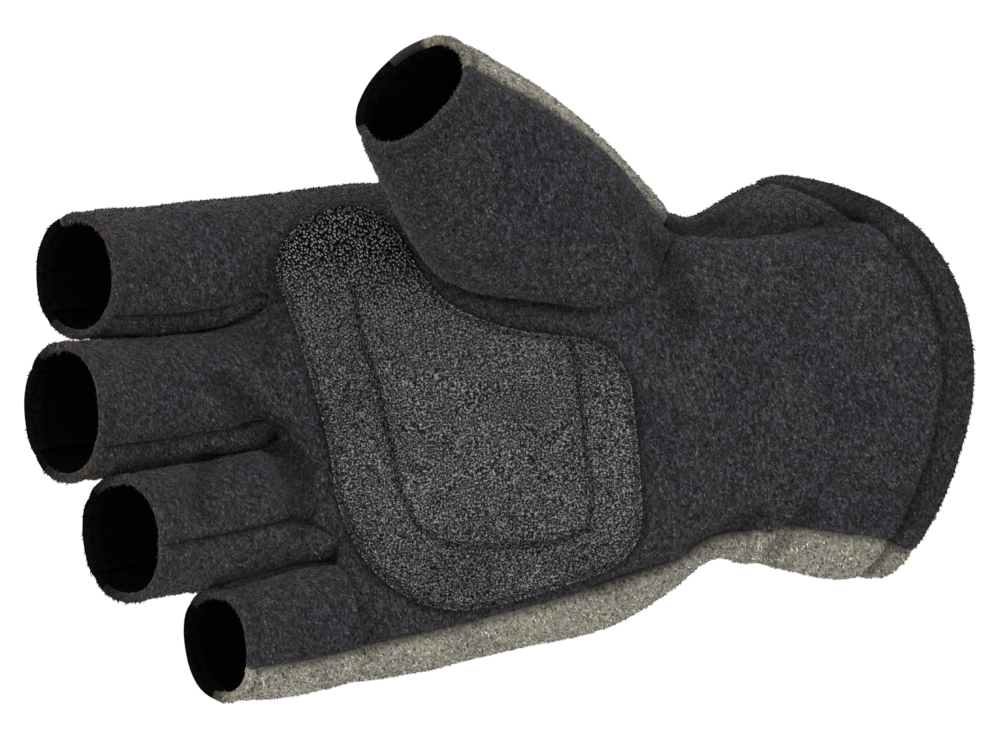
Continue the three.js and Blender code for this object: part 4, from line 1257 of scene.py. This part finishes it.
class GLOVE_OT_cloth(bpy.types.Operator):
    """Builds the palm, back, side strips and thumb as fleece walls that meet in sunken seams"""

    bl_idname = "glove.cloth"
    bl_label = "Fleece panels"

    def execute(self, context):
        sizes, colours = context.scene.glove_sizes, context.scene.glove_colours
        step = sizes.cloth_step / MM
        lower = (THUMB_EDGE["lower"], THUMB_EDGE["lower"])
        upper = (THUMB_EDGE["upper_at_palm"], THUMB_EDGE["upper_at_end"])
        dark = finish_of("brushed_charcoal_fleece", brushed_fleece, tuple(colours.dark), 3.1, 0.12)
        grey = finish_of("brushed_grey_fleece", brushed_fleece, tuple(colours.grey), 1.6, 0.1)
        brown = finish_of("brushed_brown_fleece", brushed_fleece, tuple(colours.brown), 2.8, 0.08)
        plan = [
            (panel_cloth("palm_panel", "front", step), dark, "dark_fleece"),
            (panel_cloth("back_panel", "back", step), grey, "grey_fleece"),
            *((fourchette_cloth(k, step), brown, "brown_fleece") for k in range(3)),
            (thumb_cloth("thumb_front", lower, upper, step), dark, "dark_fleece"),
            (thumb_cloth("thumb_back", upper, (lower[0] + 360, lower[1] + 360), step), grey, "grey_fleece"),
        ]
        join([cloth for cloth, _, _ in plan], sizes)
        for cloth, outside, slot in plan:
            put_cloth(cloth, outside, sizes)
        return {"FINISHED"}


class GLOVE_OT_patch(bpy.types.Operator):
    """Builds the leatherette palm patch and its two lines of stitches"""

    bl_idname = "glove.patch"
    bl_label = "Palm patch"

    def execute(self, context):
        sizes, colours = context.scene.glove_sizes, context.scene.glove_colours
        points, quads, fan, tint = patch_mesh(sizes)
        leather = finish_of("pebbled_leatherette", pebbled_leatherette, tuple(colours.patch))
        piece = put_mesh("palm_patch_leatherette", points, [quads, fan], None, [leather])
        put_tint(piece, tint)
        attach(piece, "root")
        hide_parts("palm_patch")
        pitch, high = sizes.stitch_pitch / MM, (sizes.patch_lift + sizes.patch) / MM - STITCH_SUNK
        edge = inset(closed_curve(PATCH_OUTLINE, PATCH_CORNERS), sizes.edge_stitch / MM)
        edge = closed_curve(edge[::8], int(np.linalg.norm(edge - np.roll(edge, 1, 0), axis=1).sum() / pitch))
        made = []
        for line in (edge, even_curve(PATCH_INNER_LINE, pitch)):
            skin, normal = on_palm(line[:, 0], line[:, 1])
            ahead = np.roll(skin, -1, 0) - np.roll(skin, 1, 0)
            ahead[0], ahead[-1] = skin[1] - skin[0], skin[-1] - skin[-2]
            ahead = unit(ahead - normal * (ahead * normal).sum(1, keepdims=True))
            places = skin + normal * high
            made.append(stitch_mesh(places, ahead, normal, pitch * STITCH_SHARE, sizes.thread / MM))
        (points, faces), (more_points, more_faces) = made
        faces = np.concatenate([faces, more_faces + len(points)])
        points = np.concatenate([points, more_points])
        thread = finish_of("bonded_thread", twisted_thread, tuple(colours.thread))
        stitches = put_mesh("palm_patch_stitches", points, faces, None, [thread])
        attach(stitches, "root")
        return {"FINISHED"}


class GLOVE_OT_stage(bpy.types.Operator):
    """Sets the pale floor, the soft lights, the plain surroundings and the camera"""

    bl_idname = "glove.stage"
    bl_label = "Stage"

    def execute(self, context):
        scene = context.scene
        turn = np.linspace(0, 2 * math.pi, FLOOR_CORNERS, endpoint=False)
        rim = np.stack([np.cos(turn), np.sin(turn), np.zeros(FLOOR_CORNERS)], -1)
        rim = rim * FLOOR_RADIUS + FLOOR_MIDDLE
        numbers = np.arange(FLOOR_CORNERS)
        fan = np.stack([numbers, np.roll(numbers, -1), np.full(FLOOR_CORNERS, FLOOR_CORNERS)], -1)
        ground = finish_of("matt_white_sweep", pale_ground)
        put_mesh("floor", np.concatenate([rim, [FLOOR_MIDDLE]]), fan, None, [ground], False)
        world = bpy.data.worlds.new("white_surroundings")
        world.use_nodes = True
        background = world.node_tree.nodes["Background"]
        background.inputs["Color"].default_value = linear(0xffffff)
        background.inputs["Strength"].default_value = 1.06
        scene.world = world
        for name, place, size, power in LAMPS:
            lamp = bpy.data.lights.new(name, "AREA")
            lamp.shape, lamp.size, lamp.energy = "SQUARE", size, power
            holder = bpy.data.objects.new(name, lamp)
            holder.location = place
            aim = np.array(LAMP_AIM) - np.array(place)
            yaw, pitch = math.atan2(aim[1], aim[0]), math.atan2(-aim[2], math.hypot(aim[0], aim[1]))
            holder.rotation_euler = (math.pi / 2 - pitch, 0, yaw - math.pi / 2)
            scene.collection.objects.link(holder)
        lens = bpy.data.cameras.new("camera")
        lens.sensor_width, lens.lens, lens.clip_end = SENSOR, SENSOR * -CAMERA_PLACE[1] / FRAME_WIDTH, 50
        camera = bpy.data.objects.new("camera", lens)
        camera.location = [x * MM for x in CAMERA_PLACE]
        camera.rotation_euler = (math.pi / 2, 0, 0)
        scene.collection.objects.link(camera)
        scene.camera = camera
        scene.view_settings.view_transform = "Standard"
        return {"FINISHED"}


class GLOVE_PT_panel(bpy.types.Panel):
    """Lists the glove's sizes, colours and steps"""

    bl_idname = "GLOVE_PT_panel"
    bl_label = "Fishing Glove"
    bl_space_type = "VIEW_3D"
    bl_region_type = "UI"
    bl_category = "Glove"

    def draw(self, context):
        layout = self.layout
        for group in (context.scene.glove_sizes, context.scene.glove_colours):
            for name in group.__annotations__:
                layout.prop(group, name)
        for operator in (GLOVE_OT_cloth, GLOVE_OT_patch, GLOVE_OT_stage):
            layout.operator(operator.bl_idname)


CLASSES = (GloveSizes, GloveColours, GLOVE_OT_cloth, GLOVE_OT_patch, GLOVE_OT_stage, GLOVE_PT_panel)


def register():
    for each_class in CLASSES:
        bpy.utils.register_class(each_class)
    bpy.types.Scene.glove_sizes = PointerProperty(type=GloveSizes)
    bpy.types.Scene.glove_colours = PointerProperty(type=GloveColours)


def unregister():
    del bpy.types.Scene.glove_colours
    del bpy.types.Scene.glove_sizes
    for each_class in reversed(CLASSES):
        bpy.utils.unregister_class(each_class)


def main():
    register()
    bpy.ops.glove.cloth()
    bpy.ops.glove.patch()
    bpy.ops.glove.stage()


if __name__ == "__main__":
    main()
